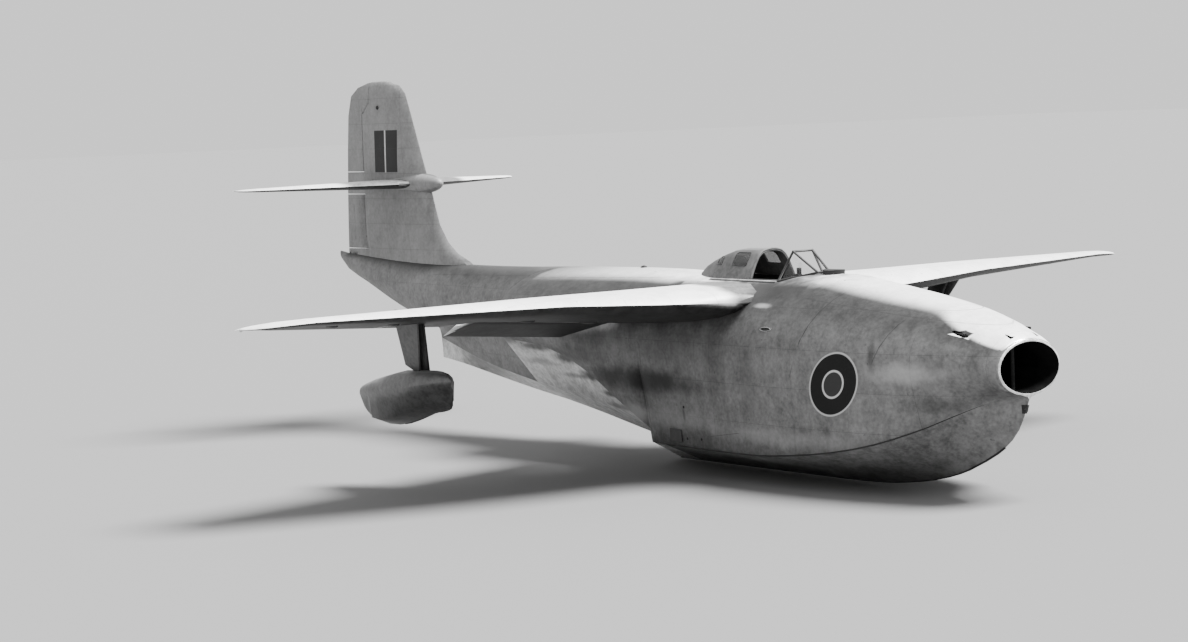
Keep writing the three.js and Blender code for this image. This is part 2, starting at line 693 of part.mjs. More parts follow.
// Floats: [station, keel height, chine half breadth, chine height, side half breadth, height, deck height]
const FLOAT = [
  [5694, 1120, 6, 1180, 10, 1330, 1412],
  [5725, 1076, 26, 1185, 30, 1352, 1458],
  [5783, 1052, 66, 1208, 74, 1373, 1488],
  [5895, 1026, 146, 1186, 158, 1386, 1521],
  [6028, 1006, 228, 1140, 250, 1374, 1539],
  [6190, 972, 290, 1073, 312, 1352, 1543],
  [6420, 901, 322, 984, 336, 1320, 1534],
  [6685, 826, 322, 908, 336, 1295, 1518],
  [6950, 784, 296, 880, 318, 1275, 1462],
  [7197, 778, 262, 890, 290, 1258, 1412],
  [7209, 820, 256, 912, 289, 1258, 1410],
  [7455, 846, 176, 960, 225, 1228, 1344],
  [7590, 884, 130, 1002, 180, 1208, 1304],
  [7690, 934, 88, 1042, 124, 1188, 1266],
  [7818, 1030, 34, 1092, 44, 1162, 1212],
  [7885, 1118, 8, 1130, 12, 1148, 1168],
];

const FLOAT_DECK_STEPS = 4;

function floatSolid(s, grow) {
  const rings = FLOAT.map(([station, keel, cy, ch, by, bh, deck]) => {
    const half = [
      [0, keel],
      [cy, ch],
      [by, bh],
    ];
    for (let i = 1; i <= FLOAT_DECK_STEPS; i++) {
      const t = (i / FLOAT_DECK_STEPS) * (Math.PI / 2);
      half.push([i === FLOAT_DECK_STEPS ? 0 : by * Math.cos(t), bh + (deck - bh) * Math.sin(t)]);
    }
    const larger = 1 + grow / by;
    const middle = (keel + deck) / 2;
    const point = ([y, h], side) => {
      const height = middle + (h - middle) * larger;
      const rise = height - FLOAT_LEVEL;
      const centre = s * (FLOAT_Y + FLOAT_LEAN * rise);
      return at(station - FLOAT_RAKE * rise, centre + side * y * larger, height);
    };
    const port = half.map((p) => point(p, 1));
    const starboard = half.slice(1, -1).reverse().map((p) => point(p, -1));
    return [...port, ...starboard];
  });
  return loft(rings, acrossHull);
}

// Float leg: [height, leading station, trailing station]
const FLOAT_LEG = [
  [1440, 6172, 6530],
  [2250, 5897, 6255],
];
const LEG_LEAN = 0.293;

// Fairing door outboard of the leg: [station, height] of its corners, and its lean with height.
const FLOAT_DOOR = [
  [5790, 2250],
  [6340, 2250],
  [6480, 1600],
  [6240, 1496],
  [6170, 1600],
];
const DOOR_LEAN = 0.36;
const DOOR_LEVEL = { y: 4415, height: 2050 };
const LEG_WING_GAP = 0.4;
const LEG_FLOAT_GAP = 0.6;

function largest(shape) {
  return shape.decompose().sort((a, b) => b.volume() - a.volume())[0];
}

function addFloats() {
  for (const [name, s] of SIDES) {
    add("float_" + name, floatSolid(s, 0), finish.skin);
    const place = (station, offset, span) =>
      at(station, s * (LEG_FOOT_Y + LEG_LEAN * (span - FLOAT_LEG[0][0])) + offset, span);
    const rows = FLOAT_LEG.map(([height, lead, trail]) => [
      height,
      lead,
      trail,
      (2 * FLOAT_LEG_HALF_THICKNESS) / (trail - lead),
    ]);
    const neighbours = wingSolid(s, LEG_WING_GAP).add(floatSolid(s, LEG_FLOAT_GAP));
    const leg = foil(rows, 0, place, acrossFin).subtract(neighbours);
    add("float_leg_" + name, largest(leg), finish.dark);
    const corners = FLOAT_DOOR.map(([station, height]) => {
      return at(station, s * (DOOR_LEVEL.y + DOOR_LEAN * (height - DOOR_LEVEL.height)), height);
    });
    const outward = new THREE.Vector3(0, 1, -s * DOOR_LEAN);
    const door = plate(corners, outward, FLOAT_DOOR_THICKNESS).subtract(neighbours);
    add("float_door_" + name, largest(door), finish.dark);
  }
}

// Windscreen corners: the top bar's end, the foot of the flat pane, and the foot of the rear arch.
const SCREEN_TOP = [3924, 155, 2782];
const SCREEN_FRONT_FOOT = [3540, 92, 2527];
const SCREEN_REAR_FOOT = [3965, 372, 2430];
const SCREEN_BAR = 15;
const SCREEN_JOINT = 17.25;
const PANE_THICKNESS = 12;
const FRONT_PANE_INSET = 0.19;
const SIDE_PANE_INSET = 0.24;

function addWindscreen() {
  const corner = ([station, y, height], s) => at(station, s * y, height);
  const bar = (a, b) => rod(a, b, SCREEN_BAR, SCREEN_BAR, ROUND.small);
  let frame = bar(corner(SCREEN_TOP, -1), corner(SCREEN_TOP, 1));
  frame = frame.add(bar(corner(SCREEN_FRONT_FOOT, -1), corner(SCREEN_FRONT_FOOT, 1)));
  for (const [, s] of SIDES) {
    const feet = [SCREEN_TOP, SCREEN_FRONT_FOOT, SCREEN_REAR_FOOT].map((c) => corner(c, s));
    const [top, front, rear] = feet;
    frame = frame.add(bar(front, top)).add(bar(top, rear)).add(bar(front, rear));
    for (const p of feet) {
      const ball = new THREE.IcosahedronGeometry(SCREEN_JOINT, 1);
      frame = frame.add(solid(ball.translate(p.x, p.y, p.z)));
    }
  }
  add("windscreen_frame", frame.subtract(hullWithGap), finish.skin);

  const pane = (corners, inset) => {
    const sum = corners.reduce((total, p) => total.add(p), new THREE.Vector3());
    const centre = sum.divideScalar(corners.length);
    const [a, b, c] = corners;
    const normal = b.clone().sub(a).cross(c.clone().sub(a));
    return plate(corners.map((p) => p.clone().lerp(centre, inset)), normal, PANE_THICKNESS);
  };
  const front = [
    corner(SCREEN_TOP, -1),
    corner(SCREEN_TOP, 1),
    corner(SCREEN_FRONT_FOOT, 1),
    corner(SCREEN_FRONT_FOOT, -1),
  ];
  add("windscreen_pane_front", pane(front, FRONT_PANE_INSET), finish.glass);
  for (const [name, s] of SIDES) {
    const side = [SCREEN_TOP, SCREEN_FRONT_FOOT, SCREEN_REAR_FOOT].map((c) => corner(c, s));
    add("windscreen_pane_" + name, pane(side, SIDE_PANE_INSET), finish.glass);
  }
}

// Sliding hood, drawn back: [station, half width, crown height]
const HOOD = [
  [4520, 372, 2806],
  [4640, 377, 2807],
  [4980, 376, 2801],
  [5120, 372, 2783],
  [5265, 362, 2742],
  [5400, 346, 2696],
  [5530, 324, 2649],
  [5650, 284, 2598],
  [5750, 214, 2542],
  [5820, 156, 2514],
  [5870, 104, 2498],
];
const HOOD_SINK = 20;
const HOOD_SKIRT = 120;
const HOOD_MOUTH_CUT = 60;

// Half of the hood's arch, from its foot to its crown: [share of half width, share of rise]
const HOOD_ARCH = [
  [1, 0],
  [0.96, 0.12],
  [0.86, 0.34],
  [0.74, 0.58],
  [0.59, 0.8],
  [0.42, 0.93],
  [0.21, 0.985],
  [0, 1],
];

// Windows on each side of the hood: [fore station, aft station, low, high]
const HOOD_WINDOWS = [
  [4690, 4965, 2602, 2748],
  [5215, 5325, 2607, 2690],
];
const WINDOW_REACH = [100, 500];

function hoodRing([station, half, crown], inset) {
  const foot = hoodFoot(half);
  const rise = crown - foot - inset;
  const side = HOOD_ARCH.map(([across, up]) => at(station, (half - inset) * across, foot + rise * up));
  const ring = [...side, ...side.slice(0, -1).reverse().map(mirrored)];
  const skirt = foot - HOOD_SKIRT;
  return [...ring, at(station, inset - half, skirt), at(station, half - inset, skirt)];
}

// Height of the hood's foot where it meets the curved deck at this half width.
function hoodFoot(half) {
  const [beam, beamHeight] = COCKPIT_SECTION.slice(7);
  return beamHeight + (DECK_HEIGHT - beamHeight) * Math.sqrt(1 - (half / beam) ** 2) - HOOD_SINK;
}

function addCanopy() {
  const outer = loft(HOOD.map((row) => hoodRing(row, 0)), acrossHull);
  const innerRows = HOOD.slice(0, -1);
  innerRows[0] = [HOOD[0][0] - HOOD_MOUTH_CUT, ...HOOD[0].slice(1)];
  const inner = loft(innerRows.map((row) => hoodRing(row, HOOD_SHELL)), acrossHull);
  const skin = outer.subtract(inner);
  let hood = skin.subtract(deckPrism(HOOD_CLEARANCE));
  for (const [name, s] of SIDES)
    for (const [i, [fore, aft, low, high]] of HOOD_WINDOWS.entries()) {
      const reach = WINDOW_REACH.map((y) => s * y).sort((a, b) => a - b);
      const paneCut = block([fore + GAP, aft - GAP], reach, [low + GAP, high - GAP]);
      const pane = largest(skin.intersect(paneCut));
      add("canopy_window_" + ["fore_", "aft_"][i] + name, pane, finish.glass);
      hood = hood.subtract(block([fore, aft], reach, [low, high]));
    }
  add("canopy_hood", largest(hood), finish.skin);
}

const DECK_PRISM = [3000, 7000];

// The deck's curve under the hood, raised by a clearance, as a long straight body.
function deckPrism(clearance) {
  const row = [...COCKPIT_SECTION];
  row[7] += clearance;
  row[9] += clearance;
  return loft(DECK_PRISM.map((station) => hullRing([station, ...row.slice(1)], 0)), acrossHull);
}

// Cockpit fillings: the seat's pan and back, its headrest, the panel and the stick.
const SEAT_HALF_WIDTH = 218;
const SEAT_PAN = { fore: 4590, aft: 5080, low: WELL_FLOOR + 180, high: WELL_FLOOR + 330 };
const SEAT_BACK = { fore: 5020, top: 2200 };
const HEADREST = { fore: 4980, halfWidth: 110, top: 2400 };
const PANEL = { fore: 4040, aft: 4090, halfWidth: 270, low: 1950, high: 2340 };
const STICK = { foot: 4420, top: 4460, height: WELL_FLOOR + 620, grip: 90 };
const STICK_RADIUS = { foot: 22, top: 14, grip: 16 };

function addCockpit() {
  const across = [-SEAT_HALF_WIDTH, SEAT_HALF_WIDTH];
  const pan = block([SEAT_PAN.fore, SEAT_PAN.aft], across, [SEAT_PAN.low, SEAT_PAN.high]);
  const back = block([SEAT_BACK.fore, SEAT_PAN.aft], across, [SEAT_PAN.low, SEAT_BACK.top]);
  add("seat", pan.add(back), finish.dark);
  const head = [-HEADREST.halfWidth, HEADREST.halfWidth];
  const headrest = block([HEADREST.fore, SEAT_PAN.aft], head, [SEAT_BACK.top + GAP, HEADREST.top]);
  add("headrest", headrest, finish.leather);
  const panelSides = [-PANEL.halfWidth, PANEL.halfWidth];
  const panel = block([PANEL.fore, PANEL.aft], panelSides, [PANEL.low, PANEL.high]);
  add("instrument_panel", panel, finish.dark);
  const [foot, top] = [at(STICK.foot, 0, WELL_FLOOR), at(STICK.top, 0, STICK.height)];
  const column = rod(foot, top, STICK_RADIUS.foot, STICK_RADIUS.top, ROUND.small);
  const [left, right] = [-1, 1].map((s) => at(STICK.top, s * STICK.grip, STICK.height));
  const floor = block([WELL_FORE, WELL_AFT], [-FAR, FAR], [0, WELL_FLOOR + GAP]);
  const grip = rod(left, right, STICK_RADIUS.grip, STICK_RADIUS.grip, ROUND.small);
  add("control_column", column.add(grip).subtract(floor), finish.dark);
}

// Mooring eye: a lug in a notch of the stem, with a hole across it.
const EYE = { low: 1002, high: 1103, aft: 131, halfThickness: 16 };
const EYE_HOLE = { station: 98, height: 1052, radius: 17 };
const EYE_FRONT = [
  [40, EYE.high],
  [54, 1070],
  [62, 1036],
  [84, EYE.low],
];

// The notch in the stem that the lug stands in.
function eyeNotch(gap) {
  return block([0, EYE.aft + gap], [-FAR, FAR], [EYE.low - gap, EYE.high + gap]);
}

// Beaching pads: their stations, heights and root, inboard of the hull's skin.
const PAD = { stations: [5187, 5427], heights: [405, 565], root: 900 };

function addFittings() {
  const outline = [...EYE_FRONT, [EYE.aft, EYE.low], [EYE.aft, EYE.high]];
  const corners = outline.map(([station, height]) => at(station, 0, height));
  const eye = plate(corners, new THREE.Vector3(0, 1, 0), 2 * EYE.halfThickness);
  const [a, b] = [-1, 1].map((s) => at(EYE_HOLE.station, s * HALF_SPAN, EYE_HOLE.height));
  add("mooring_eye", eye.subtract(rod(a, b, EYE_HOLE.radius)), finish.steel);
  for (const [name, s] of SIDES) {
    const reach = [PAD.root, PAD_FACE_Y].map((y) => s * y).sort((p, q) => p - q);
    const pad = block(PAD.stations, reach, PAD.heights).subtract(hullWithGap);
    add("beaching_pad_" + name, pad, finish.steel);
  }
}

addHull();
addIntakeAndEngines();
for (const [name, s] of SIDES) addWing(name, s);
addTail();
addFloats();
addWindscreen();
addCanopy();
addCockpit();
addFittings();

export default aircraft;
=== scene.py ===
"""Twin-jet fighter flying boat: the looks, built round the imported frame."""
import logging
import math
from contextlib import contextmanager
from dataclasses import dataclass
from enum import Enum
from typing import Callable, Iterator, Sequence

import bpy
from mathutils import Matrix, Vector

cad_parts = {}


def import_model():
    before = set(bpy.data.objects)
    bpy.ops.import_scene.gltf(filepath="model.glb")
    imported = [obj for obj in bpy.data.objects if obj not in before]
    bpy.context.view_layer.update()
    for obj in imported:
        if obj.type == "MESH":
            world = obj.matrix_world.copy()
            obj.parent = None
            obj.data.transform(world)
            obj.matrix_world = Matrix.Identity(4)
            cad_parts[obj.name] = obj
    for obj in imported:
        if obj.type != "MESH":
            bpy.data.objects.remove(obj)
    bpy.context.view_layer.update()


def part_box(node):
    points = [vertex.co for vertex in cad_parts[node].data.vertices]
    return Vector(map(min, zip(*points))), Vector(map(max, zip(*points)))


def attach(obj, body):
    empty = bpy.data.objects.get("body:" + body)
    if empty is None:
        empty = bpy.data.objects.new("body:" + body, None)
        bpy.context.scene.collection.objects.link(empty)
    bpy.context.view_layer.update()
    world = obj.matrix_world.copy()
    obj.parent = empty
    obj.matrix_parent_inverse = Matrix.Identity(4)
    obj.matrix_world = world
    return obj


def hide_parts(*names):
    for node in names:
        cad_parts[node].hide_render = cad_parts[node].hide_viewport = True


logging.basicConfig(level=logging.INFO, format="%(message)s")
log = logging.getLogger("flying_boat")

# Places: stations run aft from the intake lip, heights run up from the keel, both in metres.
STEP_STATION = 6.590
DRAUGHT = 0.750
SIDES = (("starboard", -1), ("port", 1))
# How near to each other points are merged.
DOUBLES = 1e-5
UP = Vector((0, 0, 1))
AFT = Vector((-1, 0, 0))
Piece = bpy.types.Object


def at(station: float, side: float, height: float) -> Vector:
    """Gives the point at a station, a side (port is positive) and a height above the keel."""
    return Vector((STEP_STATION - station, side, height - DRAUGHT))


def slopes(stations: Sequence, values: Sequence) -> list:
    """Gives a slope at each station that keeps the line through the values from overshooting."""
    steep = [(values[i + 1] - values[i]) / (stations[i + 1] - stations[i]) for i in range(len(values) - 1)]
    inner = [2 * a * b / (a + b) if a * b > 0 else 0.0 for a, b in zip(steep, steep[1:])]
    return [steep[0], *inner, steep[-1]]


def faired(rows: Sequence, spacing: float = 0.3301) -> list:
    """Runs a smooth line through rows.

    Args:
        rows: (station, other values) of each point it goes through.
        spacing: the longest step along it.

    Returns:
        The rows with others put in between.
    """
    columns = list(zip(*rows))
    tracks = [(values, slopes(columns[0], values)) for values in columns]
    points = []
    for i in range(len(rows) - 1):
        width = columns[0][i + 1] - columns[0][i]
        count = math.ceil(width / spacing)
        for f in (j / count for j in range(count)):
            points.append(tuple(
                values[i] + (values[i + 1] - values[i]) * f * f * (3 - 2 * f)
                + width * f * (1 - f) * (slope[i] * (1 - f) - slope[i + 1] * f)
                for values, slope in tracks
            ))
    return points + [rows[-1]]


def ring(count: int) -> list:
    """Gives the cosine and the sine of evenly spaced turns, once round."""
    return [(math.cos(turn), math.sin(turn)) for turn in (i / count * 2 * math.pi for i in range(count))]


def grey(tone: float) -> tuple:
    """Gives a neutral grey of one tone."""
    return (tone, tone, tone, 1.0)


class Wire:
    """One socket of a material. Python arithmetic on it adds Math nodes."""

    def __init__(self, board: "Board", socket: bpy.types.NodeSocket) -> None:
        """Holds the socket and the board it belongs to."""
        self.board = board
        self.socket = socket

    def math(self, operation: str, *others: "float | Wire") -> "Wire":
        """Adds one Math node.

        Args:
            operation: the node's operation.
            others: the values or sockets after this one.

        Returns:
            The node's result.
        """
        sockets = dict(enumerate((self, *others)))
        node = self.board.node("ShaderNodeMath", {"operation": operation}, sockets)
        return Wire(self.board, node.outputs[0])

    def __add__(self, other: "float | Wire") -> "Wire":
        """Adds."""
        return self.math("ADD", other)

    def __sub__(self, other: "float | Wire") -> "Wire":
        """Subtracts."""
        return self.math("SUBTRACT", other)

    def __rsub__(self, other: float) -> "Wire":
        """Subtracts this from a number."""
        return self.math("MULTIPLY_ADD", -1.0, other)

    def __mul__(self, other: "float | Wire") -> "Wire":
        """Multiplies."""
        return self.math("MULTIPLY", other)

    def __truediv__(self, other: "float | Wire") -> "Wire":
        """Divides."""
        return self.math("DIVIDE", other)

    def __pow__(self, other: float) -> "Wire":
        """Raises to a power."""
        return self.math("POWER", other)

    __radd__ = __add__
    __rmul__ = __mul__


class Board:
    """The node tree of one material, with the object's own x, y and z at hand."""

    def __init__(self, name: str) -> None:
        """Starts a material of that name."""
        self.material = bpy.data.materials.new(name)
        self.material.use_nodes = True
        self.tree = self.material.node_tree
        self.shader = self.tree.nodes["Principled BSDF"]
        coordinates = self.node("ShaderNodeTexCoord", {}, {})
        self.point = Wire(self, coordinates.outputs["Object"])
        self.x, self.y, self.z = self.split(self.point)
        self.facing_up = self.split(Wire(self, coordinates.outputs["Normal"]))[2]

    def node(self, kind: str, settings: dict, sockets: dict) -> bpy.types.Node:
        """Adds one node.

        Args:
            kind: the node's type.
            settings: its own settings, set first.
            sockets: values or wires for its inputs, by name or number.

        Returns:
            The node.
        """
        node = self.tree.nodes.new(kind)
        for name, value in settings.items():
            setattr(node, name, value)
        for key, value in sockets.items():
            if isinstance(value, Wire):
                self.tree.links.new(value.socket, node.inputs[key])
            else:
                node.inputs[key].default_value = value
        return node

    def split(self, vector: Wire) -> list:
        """Gives the three parts of a vector."""
        node = self.node("ShaderNodeSeparateXYZ", {}, {0: vector})
        return [Wire(self, socket) for socket in node.outputs]

    def noise(self, scale: float, detail: float = 3.0, rough: float = 0.55,
              stretch: tuple = (1, 1, 1)) -> Wire:
        """Adds a cloud pattern from 0 to 1, its point stretched first."""
        place = self.node("ShaderNodeMapping", {}, {"Vector": self.point, "Scale": stretch})
        point = Wire(self, place.outputs[0])
        sockets = {"Vector": point, "Scale": scale, "Detail": detail, "Roughness": rough}
        return Wire(self, self.node("ShaderNodeTexNoise", {}, sockets).outputs[0])

    def fade(self, value: Wire, low: float, high: float) -> Wire:
        """Runs smoothly from 0 at low to 1 at high."""
        sockets = {"Value": value, "From Min": low, "From Max": high}
        node = self.node("ShaderNodeMapRange", {"interpolation_type": "SMOOTHSTEP"}, sockets)
        return Wire(self, node.outputs[0])

    def mix(self, factor: Wire, low: "tuple | Wire", high: "tuple | Wire") -> Wire:
        """Mixes two colours."""
        node = self.node("ShaderNodeMix", {"data_type": "RGBA"}, {0: factor, 6: low, 7: high})
        return Wire(self, node.outputs[2])

    def along(self, direction: tuple) -> Wire:
        """Measures how far the point lies along a direction."""
        sockets = {0: self.point, 1: direction}
        node = self.node("ShaderNodeVectorMath", {"operation": "DOT_PRODUCT"}, sockets)
        return Wire(self, node.outputs["Value"])

    def from_line(self, value: Wire, spacing: float) -> Wire:
        """Gives the distance to the nearest of many evenly spaced lines."""
        return value.math("PINGPONG", spacing / 2)

    def dress(self, colour: "tuple | Wire", roughness: "float | Wire", metallic: float,
              height: "Wire | None" = None, depth: float = 0.001, **constants: float) -> bpy.types.Material:
        """Feeds the shader.

        Args:
            colour: base colour.
            roughness: roughness.
            metallic: metalness.
            height: relief from 0 to 1.
            depth: the relief's depth in metres.
            constants: other sockets, with _ for a space.

        Returns:
            The material.
        """
        values = {"Base Color": colour, "Roughness": roughness, "Metallic": metallic}
        values.update({name.replace("_", " "): value for name, value in constants.items()})
        if height is not None:
            bump = self.node("ShaderNodeBump", {}, {"Strength": 1.0, "Distance": depth, "Height": height})
            values["Normal"] = Wire(self, bump.outputs[0])
        for name, value in values.items():
            if isinstance(value, Wire):
                self.tree.links.new(value.socket, self.shader.inputs[name])
            else:
                self.shader.inputs[name].default_value = value
        return self.material


@dataclass(frozen=True)
class Seams:
    """One family of evenly spaced sheet joints, with a rivet row beside each."""

    direction: tuple
    spacing: float
    rivet_direction: tuple
    rivet_pitch: float = 0.045
    line: float = 0.0035
    rivet: float = 0.006
    row: float = 0.018

    def relief(self, board: Board) -> tuple:
        """Gives the joint mask and the rivet mask."""
        across = board.from_line(board.along(self.direction), self.spacing)
        pitch = board.from_line(board.along(self.rivet_direction), self.rivet_pitch)
        joint = board.fade(across, self.line, self.line / 3)
        offset = across - self.row
        rivet = board.fade((offset * offset + pitch * pitch) ** 0.5, self.rivet, self.rivet / 2)
        return joint, rivet


@dataclass(frozen=True)
class Rings:
    """A plain ring marking seen from the side: bands of (outer radius, tone), outermost first."""

    station: float
    height: float
    bands: tuple
    lean: float = 0.26
    soft: float = 0.006

    def paint(self, board: Board, colour: Wire) -> Wire:
        """Paints the bands over a colour."""
        above = board.z - (self.height - DRAUGHT)
        ahead = board.x - (STEP_STATION - self.station) - above * self.lean
        reach = (ahead * ahead + above * above) ** 0.5
        for radius, tone in self.bands:
            colour = board.mix(board.fade(reach, radius + self.soft, radius - self.soft), colour, grey(tone))
        return colour


@dataclass(frozen=True)
class Bars:
    """Upright bars seen from the side: (fore station, aft station, low, high, tone)."""

    bars: tuple
    soft: float = 0.006

    def paint(self, board: Board, colour: Wire) -> Wire:
        """Paints the bars over a colour."""
        for fore, aft, low, high, tone in self.bars:
            ahead = (board.x - (STEP_STATION - (fore + aft) / 2)).math("ABSOLUTE")
            above = (board.z - ((low + high) / 2 - DRAUGHT)).math("ABSOLUTE")
            inside = board.fade(ahead, (aft - fore) / 2 + self.soft, (aft - fore) / 2 - self.soft)
            inside = inside * board.fade(above, (high - low) / 2 + self.soft, (high - low) / 2 - self.soft)
            colour = board.mix(inside, colour, grey(tone))
        return colour


@dataclass(frozen=True)
class SoftPatches:
    """Soft patches seen from the side, such as painted shade and painted highlights: (station, height, length,
    tall, strength, tone).
    """

    spots: tuple
    raggedness: float = 0.9
    grain: float = 5.0
    edge: float = 1.1
    heart: float = 0.2

    def paint(self, board: Board, colour: Wire) -> Wire:
        """Paints each patch over the colour, broken up by a cloud pattern."""
        ragged = (board.noise(self.grain, 5.0) - 0.5) * self.raggedness
        for station, height, length, tall, strength, tone in self.spots:
            ahead = (board.x - (STEP_STATION - station)) / (length / 2)
            above = (board.z - (height - DRAUGHT)) / (tall / 2)
            reach = (ahead * ahead + above * above) ** 0.5 + ragged
            colour = board.mix(board.fade(reach, self.edge, self.heart) * strength, colour, grey(tone))
        return colour


@dataclass(frozen=True)
class Joints:
    """Single joint lines seen from the side: (station, height, station, height, half width, strength)."""

    lines: tuple
    tone: float = 0.01
    end_fade: float = 0.1
    least: float = 0.4

    def paint(self, board: Board, colour: Wire) -> Wire:
        """Paints each line, faded at its ends and broken up."""
        ragged = board.fade(board.noise(7.0, 3.0), 0.3, 0.6)
        for station, height, end_station, end_height, half, strength in self.lines:
            run = Vector((station - end_station, end_height - height))
            length = run.length
            run.normalize()
            ahead = board.x - (STEP_STATION - station)
            above = board.z - (height - DRAUGHT)
            along = ahead * run.x + above * run.y
            across = (ahead * run.y - above * run.x).math("ABSOLUTE")
            inside = board.fade(across, half, half / 4) * board.fade(along, 0.0, self.end_fade)
            inside = inside * board.fade(along, length, length - self.end_fade)
            worn = ragged * (1 - self.least) + self.least
            colour = board.mix(inside * worn * strength, colour, grey(self.tone))
        return colour


@dataclass(frozen=True)
class SilverPaint:
    """Weathered silver paint over riveted sheet, with a painted highlight above and painted shade below.

    A tone is a grey of the paint on the sides, on top (a painted highlight) or below (painted shade). Which
    of them a face has comes from how far it faces up: top_from, top_to, under_from and under_to are that
    normal's upright part. nose_lift is added to it at the bow, so the painted highlight reaches lower there,
    shoulder paints shade on the sides where they turn up, root keeps the painted highlight off the aircraft's
    middle, and aft_end ends it towards the tail.
    """

    name: str
    seams: tuple = ()
    marks: tuple = ()
    tone: float = 0.15
    top: float = 0.85
    under: float = 0.1
    under_from: float = -0.5
    under_to: float = -0.95
    top_from: float = 0.90
    top_to: float = 0.985
    nose_lift: float = 0.0
    shoulder: float = 0.0
    root: float = 0.0
    aft_end: float = -30.0
    aft_fade: float = 4.0
    root_fade: float = 0.25
    mottle: float = 0.6
    spot_strength: float = 0.55
    joint_strength: float = 0.45
    rivet_strength: float = 0.2
    metallic: float = 0.2
    relief: float = 0.0012
    gloss: float = 0.22

    NOSE = (STEP_STATION - 1.2, STEP_STATION - 0.1)
    SHOULDER = (0.15, 0.85)

    def weather(self, board: Board) -> tuple:
        """Mixes the cloud patterns.

        Args:
            board: the material's nodes.

        Returns:
            The broad and the patchy pattern, and the shade that all of them make round 0.
        """
        broad = board.noise(0.9, 3.0)
        patchy = board.noise(4.5, 7.0, 0.68)
        fine = board.noise(22.0, 4.0)
        streaks = board.noise(5.0, 4.0, 0.6, (1.3, 1.3, 0.6))
        shade = (broad - 0.5) * 0.6 + (patchy - 0.5) * 1.3 + (streaks - 0.5) * 0.6 + (fine - 0.5) * 0.9
        return broad, patchy, shade

    def make(self) -> bpy.types.Material:
        """Builds the paint's nodes."""
        board = Board(self.name)
        broad, patchy, shade = self.weather(board)
        clouds = board.fade(shade * self.mottle, -0.45, 0.45)
        # side, upper and lower are lit and shaded copies of one paint: upper is a painted highlight on faces
        # that face up, lower is painted shade on faces that face down, and shoulder paints shade where the
        # sides turn up.
        side = board.mix(clouds, grey(self.tone * 0.45), grey(self.tone * 1.6))
        upper = board.mix(board.fade(shade, -0.6, 0.3), grey(self.top * 0.78), grey(self.top))
        lower = board.mix(board.fade(shade, -0.4, 0.4), grey(self.under * 0.6), grey(self.under * 1.6))
        facing = board.facing_up + board.fade(board.x, *self.NOSE) * self.nose_lift
        side = board.mix(board.fade(board.facing_up, *self.SHOULDER) * self.shoulder, side, grey(0.0))
        painted_highlight = board.fade(facing, self.top_from, self.top_to)
        painted_highlight = painted_highlight * board.fade(board.x, self.aft_end, self.aft_end + self.aft_fade)
        if self.root:
            outboard = board.fade(board.y.math("ABSOLUTE"), self.root, self.root + self.root_fade)
            painted_highlight = painted_highlight * outboard
        colour = board.mix(painted_highlight, side, upper)
        colour = board.mix(board.fade(board.facing_up, self.under_from, self.under_to), colour, lower)
        spots = board.fade(board.noise(9.0, 2.0), 0.70, 0.78)
        colour = board.mix(spots * self.spot_strength, colour, grey(self.tone * 0.25))
        height = patchy * 0.35 + broad * 0.6
        for seam in self.seams:
            joint, rivet = seam.relief(board)
            colour = board.mix(joint * self.joint_strength, colour, grey(0.03))
            colour = board.mix(rivet * self.rivet_strength, colour, grey(0.05))
            height = height + rivet * 0.3 - joint * 0.6
        for mark in self.marks:
            colour = mark.paint(board, colour)
        roughness = patchy * 0.25 + 0.38
        return board.dress(colour, roughness, self.metallic, height, self.relief,
                           Specular_IOR_Level=self.gloss)


@dataclass(frozen=True)
class PlainPaint:
    """A worn satin or matt paint, metal or rubber of one tone."""

    name: str
    tone: float
    roughness: float = 0.55
    metallic: float = 0.0
    grain: float = 30.0
    depth: float = 0.0003
    tint: tuple = (1.0, 1.0, 1.0)
    gloss: float = 0.4

    def make(self) -> bpy.types.Material:
        """Builds the finish's nodes."""
        board = Board(self.name)
        patchy = board.noise(self.grain / 6, 4.0)
        fine = board.noise(self.grain, 3.0)
        shade = board.fade(patchy + (fine - 0.5) * 0.5, 0.25, 0.75)
        low, high = ((*(self.tone * level * part for part in self.tint), 1.0) for level in (0.6, 1.3))
        colour = board.mix(shade, low, high)
        roughness = shade * 0.18 + (self.roughness - 0.09)
        return board.dress(colour, roughness, self.metallic, fine, self.depth, Specular_IOR_Level=self.gloss)


@dataclass(frozen=True)
class ClearGlass:
    """Thin glass of one tone and clearness, with faint smears."""

    name: str
    tone: float
    alpha: float
    gloss: float = 0.2

    def make(self) -> bpy.types.Material:
        """Builds the glass's nodes."""
        board = Board(self.name)
        smear = board.fade(board.noise(14.0, 4.0), 0.4, 0.8)
        return board.dress(grey(self.tone), smear * 0.12 + 0.04, 0.0, Alpha=smear * 0.05 + self.alpha,
                           Specular_IOR_Level=self.gloss)


@dataclass(frozen=True)
class Woven:
    """Canvas webbing with a plain weave."""

    name: str
    tone: float = 0.35
    pitch: float = 0.0022

    def make(self) -> bpy.types.Material:
        """Builds the webbing's nodes."""
        board = Board(self.name)
        warp = (board.y / self.pitch).math("SINE")
        weft = (board.z / self.pitch).math("SINE")
        weave = board.fade(warp * weft, -1.0, 1.0)
        colour = board.mix(weave, grey(self.tone * 0.6), grey(self.tone))
        return board.dress(colour, 0.85, 0.0, weave, 0.0006)


HULL_SEAMS = (Seams((1, 0, 0), 0.92, (0, 0, 1)), Seams((0, 0, 1), 0.47, (1, 0, 0)))
WING_SEAMS = (Seams((0, 1, 0), 0.64, (1, 0, 0)), Seams((1, 0, 0), 0.71, (0, 1, 0)))
FIN_SEAMS = (Seams((0, 0, 1), 0.38, (1, 0, 0)), Seams((1, 0, 0.1), 0.62, (0, 0, 1)))
